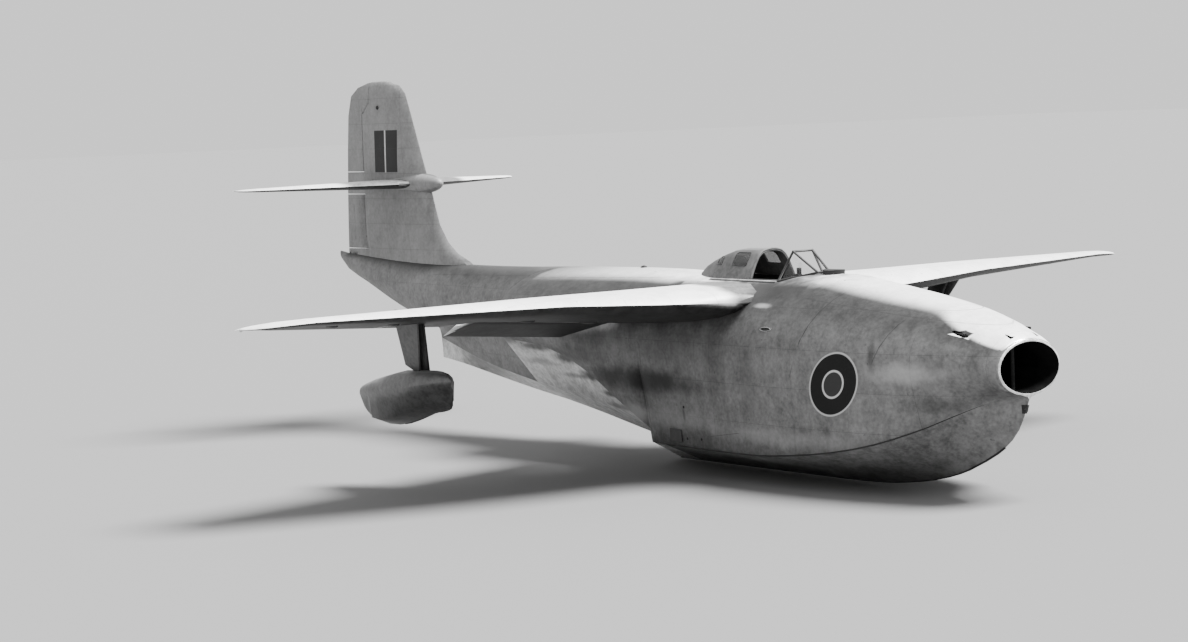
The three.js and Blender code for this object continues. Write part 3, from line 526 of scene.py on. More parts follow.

# Soft patches on the hull's sides: painted shadow of the wing under its root, painted shade along the hip
# crease and on the deck behind the bow, a painted highlight on the wing root's leading edge, and other dark
# and pale patches; then joint lines on the hull's sides.
HULL_SHADE_HIGHLIGHT_PATCHES = (
    (5.9, 1.13, 3.4, 0.42, 0.75, 0.02), (7.3, 1.42, 1.9, 0.34, 0.5, 0.03),
    (5.2, 1.62, 2.2, 0.7, 0.35, 0.04), (4.35, 1.55, 0.5, 1.2, 0.4, 0.04),
    (3.75, 1.35, 0.4, 1.3, 0.35, 0.05), (1.60, 1.65, 0.16, 0.5, 0.6, 0.03),
    (1.50, 1.95, 0.14, 0.3, 0.4, 0.04), (2.75, 0.72, 0.3, 0.16, 0.45, 0.05),
    (2.35, 0.72, 0.2, 0.16, 0.4, 0.05), (5.10, 0.76, 0.07, 0.24, 0.9, 0.008),
    (3.67, 2.17, 0.40, 0.07, 0.4, 0.7), (1.15, 1.47, 1.2, 0.34, 0.5, 0.5),
    (5.4, 0.70, 2.6, 0.35, 0.3, 0.4), (6.4, 2.05, 3.6, 0.6, 0.5, 0.03), (2.9, 1.9, 0.7, 0.7, 0.25, 0.05),
    (9.4, 1.75, 1.6, 0.5, 0.4, 0.03), (11.2, 1.6, 1.5, 0.25, 0.3, 0.03),
    (5.9, 1.20, 2.6, 0.40, 0.7, 0.01), (7.2, 1.72, 2.0, 0.5, 0.65, 0.02),
    (4.15, 2.46, 2.9, 0.6, 0.95, 0.014), (8.4, 2.52, 8.0, 0.3, 0.3, 0.03),
    (3.0, 0.60, 4.5, 0.25, 0.25, 0.4), (0.9, 1.10, 0.8, 0.25, 0.5, 0.04),
    (6.2, 0.72, 0.8, 0.35, 0.6, 0.5), (4.2, 2.28, 1.0, 0.3, 0.6, 0.05), (10.8, 2.46, 4.0, 0.3, 0.6, 0.06),
)
HULL_JOINTS = (
    (2.53, 2.38, 2.79, 1.70, 0.009, 0.8), (2.82, 1.62, 2.95, 1.30, 0.008, 0.5),
    (1.33, 2.11, 1.60, 1.55, 0.008, 0.75), (0.30, 2.0, 3.1, 2.28, 0.006, 0.35),
    (3.9, 0.62, 4.6, 0.52, 0.006, 0.5), (5.88, 0.36, 5.88, 1.65, 0.007, 0.5),
    (4.45, 2.0, 4.45, 0.4, 0.006, 0.35), (7.20, 2.0, 7.20, 1.25, 0.006, 0.4),
    (10.2, 2.3, 10.2, 1.1, 0.006, 0.4), (6.0, 2.43, 12.2, 2.30, 0.006, 0.4),
)
# Dark patches on the bottom behind the step, most of them along the hip crease: painted shade.
BOTTOM_SHADE_PATCHES = (
    (6.6, 0.75, 1.5, 0.12, 0.5, 0.03), (7.6, 1.10, 1.2, 0.1, 0.5, 0.03),
    (8.6, 1.25, 1.2, 0.14, 0.4, 0.04), (11.0, 1.0, 2.4, 0.8, 0.75, 0.08),
    (6.7, 0.92, 0.8, 0.12, 0.8, 0.03), (7.15, 1.14, 0.9, 0.18, 0.85, 0.03),
    (7.75, 1.34, 0.9, 0.2, 0.85, 0.03), (8.4, 1.47, 1.0, 0.16, 0.8, 0.04),
    (9.0, 1.53, 0.8, 0.16, 0.7, 0.05),
)


class Finish(Enum):
    """Every finish on the aircraft; each material is made once, when it is first used."""

    # The hull: a painted highlight on top, reaching lower at the bow and ending towards the tail, and painted
    # shade below and where the sides turn up.
    HULL = SilverPaint("hull_paint", HULL_SEAMS, (
        SoftPatches(HULL_SHADE_HIGHLIGHT_PATCHES),
        Joints(HULL_JOINTS),
        Rings(2.195, 1.309, ((0.385, 0.5), (0.364, 0.007), (0.172, 0.6), (0.147, 0.035))),
    ), tone=0.17, nose_lift=0.27, shoulder=0.78, aft_end=-3.5)
    # The wings and tail surfaces: a painted highlight on all but their undersides, kept off the roots, and
    # near-black painted shade below.
    WING = SilverPaint("wing_paint", WING_SEAMS, (), top=0.9, under=0.03, under_from=-0.45, under_to=-0.75,
                       top_from=-0.5, top_to=-0.2, root=0.92)
    FIN = SilverPaint("fin_paint", FIN_SEAMS, (
        Bars(((13.257, 13.590, 3.812, 4.447, 0.016), (13.590, 13.628, 3.812, 4.447, 0.5),
              (13.628, 13.940, 3.812, 4.447, 0.012))),
    ), tone=0.2, top=0.1, mottle=0.35)
    # The planing bottom: no painted highlight even where it faces up, kept dark as painted shade.
    BOTTOM = SilverPaint("planing_bottom", tone=0.17, top=0.1, under=0.15, mottle=0.7)
    # The bottom behind the step: painted far paler than the sides, a painted reflection of light from below.
    AFTERBODY = SilverPaint("afterbody_bottom", (), (SoftPatches(BOTTOM_SHADE_PATCHES),), tone=0.6, top=0.6,
                            under=0.5, mottle=0.6)
    # The floats: painted shade under them from low on their sides, and a weaker painted highlight on top.
    FLOAT = SilverPaint("float_paint", tone=0.14, top=0.30, under=0.05, under_from=-0.1, under_to=-0.4)
    # Near black on the float legs, and on the windscreen frame and hinge fairings that share it, and dark grey
    # on the doors: painted shade.
    LEG = SilverPaint("leg_paint", tone=0.04, top=0.2, under=0.04)
    DOOR = SilverPaint("door_paint", tone=0.10, top=0.2)
    HOOD = SilverPaint("hood_paint", tone=0.14, top=0.16, under=0.05, shoulder=0.45)
    BRIGHT = PlainPaint("polished_lip", 0.86, 0.28, 0.6)
    # Near black in the intake duct, the lip's bore, the splitter's sides, the cannon troughs and the gaps at
    # the rudder's ends: painted shade in hollows.
    DUCT = PlainPaint("hollow_shade_black", 0.006, 0.9, gloss=0.0)
    STEEL = PlainPaint("stained_pipe", 0.2, 0.45, 0.8, tint=(1.0, 0.93, 0.85))
    GUN = PlainPaint("oiled_barrel", 0.03, 0.4, 0.7)
    GREY = PlainPaint("cockpit_grey", 0.16, 0.5)
    # Near black on the splitter's front, a little lighter than the duct: painted shade.
    SPLITTER = PlainPaint("splitter_painted_shade", 0.03, 0.9, gloss=0.0)
    BLACK = PlainPaint("crackle_black", 0.02, 0.6, gloss=0.2)
    LEATHER = PlainPaint("worn_leather", 0.12, 0.6, 0.0, 90.0, 0.0008, (1.0, 0.85, 0.7))
    DARK = PlainPaint("dark_strip", 0.02, 0.5, 0.2)
    # Near black on the plate on the deck ahead of the windscreen: painted shade.
    RECESS = PlainPaint("scoop_painted_shade", 0.012, 0.6)
    TRIM = PlainPaint("trim_paint", 0.3, 0.45, 0.3)
    RAIL = PlainPaint("rail_metal", 0.55, 0.4, 0.4)
    PAD = PlainPaint("pad_steel", 0.05, 0.5, 0.3)
    WEBBING = Woven("canvas_webbing")
    DIAL = PlainPaint("dial_face", 0.012, 0.3)
    GLASS = ClearGlass("screen_glass", 0.2, 0.05)
    # The hood's panes, dark and half opaque: painted shade of the cockpit behind them.
    DARK_GLASS = ClearGlass("hood_glass", 0.06, 0.55)
    LENS = ClearGlass("lamp_glass", 0.7, 0.6)

    @property
    def material(self) -> bpy.types.Material:
        """Gives this finish's material."""
        return bpy.data.materials.get(self.value.name) or self.value.make()


def select_only(piece: Piece) -> None:
    """Makes a piece the only selected and active one."""
    bpy.ops.object.select_all(action="DESELECT")
    piece.select_set(True)
    bpy.context.view_layer.objects.active = piece


def apply_modifier(piece: Piece, kind: str, **settings: object) -> None:
    """Adds a modifier with its settings and applies it."""
    select_only(piece)
    modifier = piece.modifiers.new(kind.lower(), kind)
    for name, value in settings.items():
        setattr(modifier, name, value)
    bpy.ops.object.modifier_apply(modifier=modifier.name)


def smooth(crease: float = 40.0) -> None:
    """Shades the active piece smooth between edges sharper than so many degrees."""
    bpy.ops.object.shade_smooth_by_angle(angle=math.radians(crease))


@contextmanager
def editing() -> Iterator[None]:
    """Holds the active piece in edit mode, at first with all of it selected."""
    bpy.ops.object.mode_set(mode="EDIT")
    bpy.ops.mesh.select_all(action="SELECT")
    yield
    bpy.ops.object.mode_set(mode="OBJECT")


def added(name: str, data: bpy.types.ID) -> Piece:
    """Puts data in the scene as an object, the only selected one."""
    piece = bpy.data.objects.new(name, data)
    bpy.context.scene.collection.objects.link(piece)
    if data.id_type in ("MESH", "CURVE"):
        select_only(piece)
    return piece


def keep(piece: Piece, name: str, body: str, slot: str, finish: Finish,
         *nodes: str) -> Piece:
    """Finishes a piece.

    Args:
        piece: the piece.
        name: its name.
        body: the body that it rides on.
        slot: the name of a material slot; not used.
        finish: its finish, where it has none yet.
        nodes: the CAD nodes that it stands for.

    Returns:
        The piece.
    """
    select_only(piece)
    bpy.ops.object.transform_apply(location=True, rotation=True, scale=True)
    piece.name = name
    if not piece.data.materials:
        piece.data.materials.append(finish.material)
    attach(piece, body)
    if nodes:
        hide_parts(*nodes)
    log.info("%s: %d faces", name, len(piece.data.polygons))
    return piece


def merged_copy(node: str) -> Piece:
    """Gives a copy of a CAD node with its points merged."""
    piece = added("copy_" + node, bpy.data.objects[node].data.copy())
    piece.data.materials.clear()
    with editing():
        bpy.ops.mesh.remove_doubles(threshold=DOUBLES)
    return piece


def start_picking(kind: str) -> None:
    """Deselects all of the active piece, ready for its edges or faces to be picked in code."""
    bpy.ops.object.mode_set(mode="EDIT")
    bpy.ops.mesh.select_mode(type=kind)
    bpy.ops.mesh.select_all(action="DESELECT")
    bpy.ops.object.mode_set(mode="OBJECT")


def paint_faces(piece: Piece, finish: Finish, test: Callable) -> None:
    """Gives another finish to the faces whose middle and normal pass a test."""
    piece.data.materials.append(finish.material)
    number = len(piece.data.materials) - 1
    for face in piece.data.polygons:
        if test(face.center, face.normal):
            face.material_index = number


@dataclass
class Skins:
    """The aircraft's outer skins: smooth copies of the CAD's solids, painted."""

    crease: float = 28.0
    duct_half_width: float = 0.470
    duct_half_height: float = 0.306
    duct_height: float = 1.533
    weld: float = 0.0008
    trough_rise: float = 0.034
    trough_end: float = 0.004
    gap_top: float = 4.0

    HULL_NODES = ("hull_bow", "hull_cockpit", "hull_centre", "hull_afterbody", "tail_boom")
    BULKHEADS = (3.15, 5.70, 9.128, 12.37)
    # Cannon troughs: (side, fore station, aft station, height, radius).
    TROUGHS = ((0.505, 0.250, 0.900, 1.905, 0.034), (0.200, 0.092, 0.245, 1.872, 0.024))
    STEP = 5.926
    # The planing bottom's upper edge: its height at each station, ahead of the step, behind it and aft.
    CHINES = (
        faired((
            (0.0, 1.234), (0.011, 1.221), (0.023, 1.211), (0.038, 1.202), (0.076, 1.182), (0.128, 1.162),
            (0.198, 1.153), (0.306, 1.143), (0.439, 1.119), (0.553, 1.072), (0.75, 0.979), (1.036, 0.836),
            (1.381, 0.699), (1.884, 0.568), (2.545, 0.458), (3.208, 0.389), (3.603, 0.361), (3.95, 0.355),
            (4.923, 0.349), (5.925, 0.353),
        )),
        faired((
            (5.925, 0.505), (6.705, 0.918), (7.285, 1.208), (7.856, 1.40), (8.386, 1.50), (9.110, 1.556),
        )),
        faired(((9.110, 0.909), (9.913, 0.98), (10.952, 1.108), (11.882, 1.256), (12.370, 1.341))),
    )
    AIRFRAME = (
        ("hull_cockpit", Finish.HULL), ("hull_centre", Finish.HULL), ("hull_afterbody", Finish.HULL),
        ("tail_boom", Finish.HULL), ("wing_starboard", Finish.WING), ("wing_port", Finish.WING),
        ("fin", Finish.FIN), ("tail_bullet", Finish.FIN), ("tailplane_starboard", Finish.WING),
        ("tailplane_port", Finish.WING), ("float_starboard", Finish.FLOAT), ("float_port", Finish.FLOAT),
        ("float_leg_starboard", Finish.LEG), ("float_leg_port", Finish.LEG),
        ("float_door_starboard", Finish.DOOR), ("float_door_port", Finish.DOOR),
    )
    MOVING = (
        ("rudder_lower", "rudder", Finish.FIN), ("rudder_upper", "rudder", Finish.FIN),
        ("elevator_starboard", "elevators", Finish.WING), ("elevator_port", "elevators", Finish.WING),
        ("aileron_starboard", "aileron_starboard", Finish.WING),
        ("aileron_port", "aileron_port", Finish.WING),
        ("flap_starboard", "flap_starboard", Finish.WING), ("flap_port", "flap_port", Finish.WING),
    )

    def skin(self, node: str, body: str, slot: str, finish: Finish) -> Piece:
        """Makes one smooth painted skin.

        Args:
            node: the CAD node.
            body: the body that it rides on.
            slot: its material slot.
            finish: its finish.

        Returns:
            The skin.
        """
        piece = merged_copy(node)
        smooth(self.crease)
        return keep(piece, "skin_" + node, body, slot, finish, node)

    def in_duct(self, centre: Vector, normal: Vector) -> bool:
        """Tells whether a face lines the intake duct."""
        across = centre.y / self.duct_half_width
        up = (centre.z + DRAUGHT - self.duct_height) / self.duct_half_height
        return across * across + up * up < 1.0

    def in_trough(self, centre: Vector, normal: Vector) -> bool:
        """Tells whether a face lies in a cannon trough."""
        station = STEP_STATION - centre.x
        height = centre.z + DRAUGHT
        for side, fore, aft, low, radius in self.TROUGHS:
            axis = low + self.trough_rise * (station - fore + radius) / (aft - fore + radius)
            reach = math.hypot(abs(centre.y) - side, height - axis)
            if fore - radius - self.weld < station < aft + self.trough_end and reach < radius * 1.01:
                return True
        return False

    def outside_lip(self, centre: Vector, normal: Vector) -> bool:
        """Tells whether a face of the lip belongs to its outside."""
        outward = Vector((0, centre.y, centre.z + DRAUGHT - self.duct_height))
        return normal.x < 0.75 and outward.dot(normal) > 0

    def inside_lip(self, centre: Vector, normal: Vector) -> bool:
        """Tells whether a face of the lip belongs to its bore."""
        outward = Vector((0, centre.y, centre.z + DRAUGHT - self.duct_height))
        return normal.x < 0.75 and outward.dot(normal) < 0

    def at_bulkhead(self, station: float) -> bool:
        """Tells whether a station is at a bulkhead."""
        return any(abs(station - bulkhead) < self.weld for bulkhead in self.BULKHEADS)

    def hull_guide(self) -> Piece:
        """Makes one smooth skin of all the hull's sections, whose normals run on over the bulkheads."""
        select_only(merged_copy(self.HULL_NODES[0]))
        guide = bpy.context.object
        for node in self.HULL_NODES[1:]:
            copy = merged_copy(node)
            select_only(guide)
            copy.select_set(True)
            bpy.ops.object.join()
        start_picking("FACE")
        for face in guide.data.polygons:
            face.select = self.at_bulkhead(STEP_STATION - face.center.x)
        bpy.ops.object.mode_set(mode="EDIT")
        bpy.ops.mesh.delete(type="FACE")
        bpy.ops.mesh.select_all(action="SELECT")
        bpy.ops.mesh.remove_doubles(threshold=self.weld)
        bpy.ops.object.mode_set(mode="OBJECT")
        start_picking("EDGE")
        points = guide.data.vertices
        for edge in guide.data.edges:
            edge.select = all(self.at_bulkhead(STEP_STATION - points[end].co.x) for end in edge.vertices)
        bpy.ops.object.mode_set(mode="EDIT")
        bpy.ops.mesh.dissolve_edges(use_verts=True)
        bpy.ops.mesh.select_mode(type="VERT")
        bpy.ops.object.mode_set(mode="OBJECT")
        smooth(self.crease)
        guide.name = "hull_guide"
        return guide

    def follow(self, piece: Piece, guide: Piece) -> None:
        """Takes over the guide's normals at the bulkheads."""
        stations = [STEP_STATION - point.co.x for point in piece.data.vertices]
        ends = [number for number, station in enumerate(stations) if self.at_bulkhead(station)]
        piece.vertex_groups.new(name="bulkheads").add(ends, 1.0, "REPLACE")
        apply_modifier(piece, "DATA_TRANSFER", object=guide, use_loop_data=True, vertex_group="bulkheads",
                       data_types_loops={"CUSTOM_NORMAL"}, loop_mapping="POLYINTERP_NEAREST")

    def under_chine(self, centre: Vector, normal: Vector) -> bool:
        """Tells whether a face belongs to the planing bottom."""
        station = STEP_STATION - centre.x
        height = centre.z + DRAUGHT
        for chine in self.CHINES:
            for (fore, fore_height), (aft, aft_height) in zip(chine, chine[1:]):
                if fore <= station <= aft:
                    line = fore_height + (aft_height - fore_height) * (station - fore) / (aft - fore)
                    return height < line and normal.z < 0.1
        return False

    def in_rudder_gap(self, centre: Vector, normal: Vector) -> bool:
        """Tells whether a face is one of the fin's or the rudder's level ends."""
        return normal.z > 0.95 and centre.z < self.gap_top

    def behind_step(self, centre: Vector, normal: Vector) -> bool:
        """Tells whether a face belongs to the planing bottom behind the step."""
        return centre.x < STEP_STATION - self.STEP and self.under_chine(centre, normal)

    def build(self) -> None:
        """Makes every skin."""
        guide = self.hull_guide()
        for node, finish in self.AIRFRAME:
            piece = self.skin(node, "airframe", "silver_skin", finish)
            if finish is Finish.HULL:
                self.follow(piece, guide)
                paint_faces(piece, Finish.BOTTOM, self.under_chine)
                paint_faces(piece, Finish.AFTERBODY, self.behind_step)
        for node, body, finish in self.MOVING:
            self.skin(node, body, "silver_skin", finish)
        # The fin's and rudders' level ends at the gaps are painted near black: painted shade.
        for node in ("fin", "rudder_lower", "rudder_upper"):
            paint_faces(bpy.data.objects["skin_" + node], Finish.DUCT, self.in_rudder_gap)
        bow = self.skin("hull_bow", "airframe", "silver_skin", Finish.HULL)
        self.follow(bow, guide)
        bpy.data.objects.remove(guide)
        paint_faces(bow, Finish.BOTTOM, self.under_chine)
        # The duct's lining and the cannon troughs are painted near black: painted shade.
        paint_faces(bow, Finish.DUCT, self.in_duct)
        paint_faces(bow, Finish.DUCT, self.in_trough)
        lip = self.skin("intake_lip", "airframe", "bright_metal", Finish.BRIGHT)
        paint_faces(lip, Finish.HULL, self.outside_lip)
        # The lip's bore is painted near black: painted shade.
        paint_faces(lip, Finish.DUCT, self.inside_lip)
        # The splitter is painted near black, its front a little lighter: painted shade.
        splitter = self.skin("intake_splitter", "airframe", "duct_lining", Finish.DUCT)
        paint_faces(splitter, Finish.SPLITTER, lambda centre, normal: normal.x > 0.5)
        self.skin("canopy_hood", "canopy", "silver_skin", Finish.HOOD)


def bar(points: Sequence, radius: float, closed: bool = False, sides: int = 3,
        taper: int = 0) -> Piece:
    """Makes a round bar through points.

    Args:
        points: the points of its middle line.
        radius: its radius.
        closed: whether it joins up with itself.
        sides: how finely it is rounded.
        taper: over how many of its first points it grows from a thin start.

    Returns:
        The bar, as a mesh.
    """
    curve = bpy.data.curves.new("bar", "CURVE")
    curve.dimensions = "3D"
    spline = curve.splines.new("POLY")
    spline.points.add(len(points) - 1)
    for number, (slot, point) in enumerate(zip(spline.points, points)):
        slot.co = (*point, 1.0)
        slot.radius = min(1.0, (number + 0.2) / taper) if taper else 1.0
    spline.use_cyclic_u = closed
    curve.bevel_depth = radius
    curve.bevel_resolution = sides
    curve.use_fill_caps = True
    added("bar", curve)
    bpy.ops.object.convert(target="MESH")
    piece = bpy.context.object
    smooth()
    return piece


def slab(centre: Vector, size: tuple, edge: float, segments: int = 3) -> Piece:
    """Makes a block with rounded edges.

    Args:
        centre: its middle.
        size: its three sizes.
        edge: the radius of its edges.
        segments: how finely they are rounded.

    Returns:
        The block.
    """
    bpy.ops.object.select_all(action="DESELECT")
    bpy.ops.mesh.primitive_cube_add(size=1, location=centre, scale=size)
    piece = bpy.context.object
    bpy.ops.object.transform_apply(location=True, rotation=True, scale=True)
    apply_modifier(piece, "BEVEL", width=edge, segments=segments, limit_method="ANGLE")
    smooth()
    return piece


def turned(profile: Sequence, origin: Vector, axis: Vector, steps: int = 32) -> Piece:
    """Spins a profile round an axis.

    Args:
        profile: (distance along the axis, radius) of each point.
        origin: where the axis starts.
        axis: its direction.
        steps: how many steps the turn has.

    Returns:
        The turned piece.
    """
    along = axis.normalized()
    out = along.orthogonal().normalized()
    mesh = bpy.data.meshes.new("turned")
    points = [origin + along * reach + out * radius for reach, radius in profile]
    mesh.from_pydata(points, [(i, i + 1) for i in range(len(points) - 1)], [])
    piece = added("turned", mesh)
    with editing():
        bpy.ops.mesh.spin(steps=steps, angle=2 * math.pi, center=origin, axis=along)
        bpy.ops.mesh.select_all(action="SELECT")
        bpy.ops.mesh.remove_doubles(threshold=DOUBLES)
        bpy.ops.mesh.normals_make_consistent(inside=False)
    smooth()
    return piece


def joined(pieces: Sequence) -> Piece:
    """Joins pieces into one."""
    select_only(pieces[0])
    for piece in pieces[1:]:
        piece.select_set(True)
    bpy.ops.object.join()
    return bpy.context.object


def on_side(skin: Piece, station: float, height: float, sign: int, proud: float = 0.0) -> Vector:
    """Gives the point of a skin seen from one side, stood a little proud of it."""
    start = at(station, sign * 9.0, height)
    hit, place, normal, _ = skin.ray_cast(start, Vector((0, -sign, 0)))
    if not hit:
        raise ValueError(f"{skin.name} isn't at {station}, {height}")
    return place + normal * proud


def on_top(skin: Piece, station: float, side: float, proud: float = 0.0, down: bool = True) -> Vector:
    """Gives the point of a skin seen from above, or from below."""
    start = at(station, side, 9.0 if down else -9.0)
    hit, place, normal, _ = skin.ray_cast(start, Vector((0, 0, -1 if down else 1)))
    if not hit:
        raise ValueError(f"{skin.name} isn't at {station}, {side}")
    return place + normal * proud


def plate(skin: Piece, centre: Vector, size: tuple, facing: str, thickness: float,
          roundness: float = 0.6, cuts: int = 10) -> Piece:
    """Makes a thin plate that lies on a skin.

    Args:
        skin: the skin.
        centre: its middle, before it is pressed on the skin.
        size: its length and its other size.
        facing: "Y" for a side plate or "Z" for one on top.
        thickness: its thickness, half of it sunk.
        roundness: 0 for square corners and 1 for an oval.
        cuts: how finely it follows the skin.

    Returns:
        The plate.
    """
    bpy.ops.object.select_all(action="DESELECT")
    bpy.ops.mesh.primitive_grid_add(x_subdivisions=cuts, y_subdivisions=cuts, size=2)
    piece = bpy.context.object
    for point in piece.data.vertices:
        u, v, _ = point.co
        across = u * math.sqrt(1 - roundness * v * v / 2) * size[0] / 2
        up = v * math.sqrt(1 - roundness * u * u / 2) * size[1] / 2
        point.co = centre + (Vector((across, 0, up)) if facing == "Y" else Vector((across, up, 0)))
    apply_modifier(piece, "SHRINKWRAP", target=skin, wrap_method="PROJECT", use_project_y=facing == "Y",
                   use_project_z=facing == "Z", use_negative_direction=True, use_positive_direction=True)
    with editing():
        bpy.ops.mesh.normals_make_consistent(inside=False)
    outward = centre.y if facing == "Y" else 1.0
    if (piece.data.polygons[0].normal[1 if facing == "Y" else 2] > 0) != (outward > 0):
        piece.data.flip_normals()
    apply_modifier(piece, "SOLIDIFY", thickness=thickness, offset=0.0)
    apply_modifier(piece, "BEVEL", width=thickness * 0.3, segments=2, limit_method="ANGLE")
    smooth()
    return piece


@dataclass
class HullFittings:
    """Strips, recess, slots, drains and other small things on the hull."""

    strip_radius: float = 0.009
    keel_radius: float = 0.014
    scoop_station: float = 3.343
    scoop_size: tuple = (0.31, 0.23)
    scoop_thickness: float = 0.11
    slot_station: float = 3.415
    slot_height: float = 1.907
    slot_size: tuple = (0.19, 0.045)
    drains: tuple = ((5.085, 0.455), (4.775, 0.470), (5.085, 0.86))
    drain_size: float = 0.034
    bump_station: float = 7.25

    # The chine line: (station, side, height), and the keel line: (station, height).
    CHINE_LINE = faired((
        (0.439, 0.214, 1.119), (0.553, 0.320, 1.072), (0.75, 0.454, 0.979), (1.036, 0.660, 0.836),
        (1.381, 0.876, 0.699), (1.884, 0.971, 0.568), (2.545, 1.036, 0.458), (3.208, 1.067, 0.389),
        (3.603, 1.071, 0.361), (3.95, 1.067, 0.355), (4.923, 1.015, 0.349), (5.90, 0.956, 0.353),
    ))
    KEEL_LINE = faired((
        (0.439, 0.580), (0.553, 0.508), (0.75, 0.407), (1.036, 0.280), (1.381, 0.172), (1.884, 0.076),
        (2.545, 0.014), (3.208, 0.0), (4.923, 0.0), (6.57, 0.0),
    ))

    def build_strips(self) -> None:
        """Makes the chine strips and the keel's rubbing strip."""
        for name, sign in SIDES:
            line = [at(station, sign * side, height) for station, side, height in self.CHINE_LINE]
            strip = bar(line, self.strip_radius, taper=4)
            keep(strip, "chine_strip_" + name, "airframe", "gun_steel", Finish.DARK)
        line = [at(station, 0, height + self.keel_radius / 2) for station, height in self.KEEL_LINE]
        keep(bar(line, self.keel_radius), "keel_strip", "airframe", "gun_steel", Finish.DARK)

    def build_slot(self, skin: Piece, name: str, sign: int) -> None:
        """Makes a slot with its raised rim on the hull's side."""
        length, tall = self.slot_size
        centre = at(self.slot_station, sign * 1.3, self.slot_height)
        # A black plate for the slot's opening: painted shade.
        opening = plate(skin, centre, self.slot_size, "Y", 0.006, 0.9)
        keep(opening, "side_slot_" + name, "airframe", "panel_black", Finish.BLACK)
        rim = []
        for wide, high in ring(24):
            place = (self.slot_station + wide * length / 2, self.slot_height + high * tall / 2)
            rim.append(on_side(skin, *place, sign, 0.002))
        keep(bar(rim, 0.004, True), "side_slot_rim_" + name, "airframe", "silver_skin", Finish.TRIM)

    def build(self) -> None:
        """Makes all the hull's fittings."""
        cockpit = bpy.data.objects["skin_hull_cockpit"]
        centre = bpy.data.objects["skin_hull_centre"]
        self.build_strips()
        place = at(self.scoop_station, 0, 2.6)
        # A near-black plate ahead of the windscreen: painted shade.
        scoop = plate(cockpit, place, self.scoop_size, "Z", self.scoop_thickness, 1.0, 14)
        keep(scoop, "deck_scoop", "airframe", "panel_black", Finish.RECESS)
        for name, sign in SIDES:
            self.build_slot(cockpit, name, sign)
            for number, (station, height) in enumerate(self.drains):
                size = (self.drain_size, self.drain_size)
                # Black plates for the drains: painted shade of their holes.
                drain = plate(cockpit, at(station, sign * 1.3, height), size, "Y", 0.008, 1.0, 6)
                keep(drain, f"drain_{number}_{name}", "airframe", "panel_black", Finish.BLACK)
        foot = on_top(centre, self.bump_station, 0.0)
        bump = turned(((-0.01, 0.045), (0.006, 0.045), (0.018, 0.036), (0.03, 0.0)), foot, UP, 20)
        keep(bump, "deck_filler", "airframe", "panel_black", Finish.BLACK)


@dataclass
class Guns:
    """Four cannon barrels with flared muzzles, lying in troughs painted near black as shade."""

    radius: float = 0.017

    def build(self) -> None:
        """Makes a detailed barrel for each CAD one."""
        for node in ("outer_starboard", "outer_port", "inner_starboard", "inner_port"):
            low, high = (Vector(corner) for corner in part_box("cannon_" + node))
            side = (low.y + high.y) / 2
            aft = Vector((low.x, side, high.z - self.radius))
            fore = Vector((high.x, side, low.z + self.radius))
            length = (fore - aft).length
            r = self.radius
            profile = (
                (0.0, 0.0), (0.0, r * 0.8), (length - 0.05, r * 0.8), (length - 0.045, r),
                (length - 0.012, r), (length - 0.006, r * 0.9), (length - 0.006, r * 0.55),
                (length - 0.04, r * 0.5), (length - 0.04, 0.0),
            )
            barrel = turned(profile, aft, fore - aft, 20)
            keep(barrel, "barrel_" + node, "airframe", "gun_steel", Finish.GUN, "cannon_" + node)


@dataclass
class JetPipes:
    """Two jet pipes with rolled lips, inner liners and tail cones on struts."""

    radius: float = 0.222
    wall: float = 0.016
    length: float = 0.545
    cone_radius: float = 0.085
    struts: int = 4
    strut_radius: float = 0.012
    # Two points of the pipe's axis: (station, side, height), and how far the pipe stands past the second.
    axis_points: tuple = ((5.790, 0.477, 1.650), (9.190, 0.930, 1.775))
    proud: float = 0.025

    def build(self) -> None:
        """Makes both pipes."""
        for name, sign in SIDES:
            ends = [at(station, sign * side, height) for station, side, height in self.axis_points]
            axis = (ends[1] - ends[0]).normalized()
            end = ends[1] + axis * self.proud
            r, w = self.radius, self.wall
            shell = turned((
                (-self.length, r - w), (-self.length, r), (-0.03, r), (-0.012, r - 0.001), (0.0, r - 0.006),
                (0.0, r - w), (-0.012, r - w - 0.006), (-0.05, r - w - 0.010), (-0.2, r - w - 0.006),
                (-self.length, r - w),
            ), end, axis, 48)
            keep(shell, "pipe_" + name, "airframe", "heat_stained_steel", Finish.STEEL, "jet_nozzle_" + name)
            c = self.cone_radius
            profile = ((-0.5, 0.0), (-0.5, c), (-0.4, c), (-0.24, c * 0.62), (-0.13, c * 0.2), (-0.11, 0.0))
            cone = [turned(profile, end, axis, 28)]
            out = axis.orthogonal().normalized()
            for number in range(self.struts):
                turn = Matrix.Rotation(2 * math.pi * (number + 0.5) / self.struts, 3, axis)
                reach = turn @ out
                root = end - axis * 0.45
                cone.append(bar([root + reach * c * 0.6, root + reach * (r - w - 0.004)], self.strut_radius))
            keep(joined(cone), "tail_cone_" + name, "airframe", "heat_stained_steel", Finish.STEEL)
        for node in ("engine_starboard", "engine_port"):
            casing = merged_copy(node)
            apply_modifier(casing, "BEVEL", width=0.02, segments=3, limit_method="ANGLE")
            keep(casing, "casing_" + node, "airframe", "heat_stained_steel", Finish.STEEL, node)


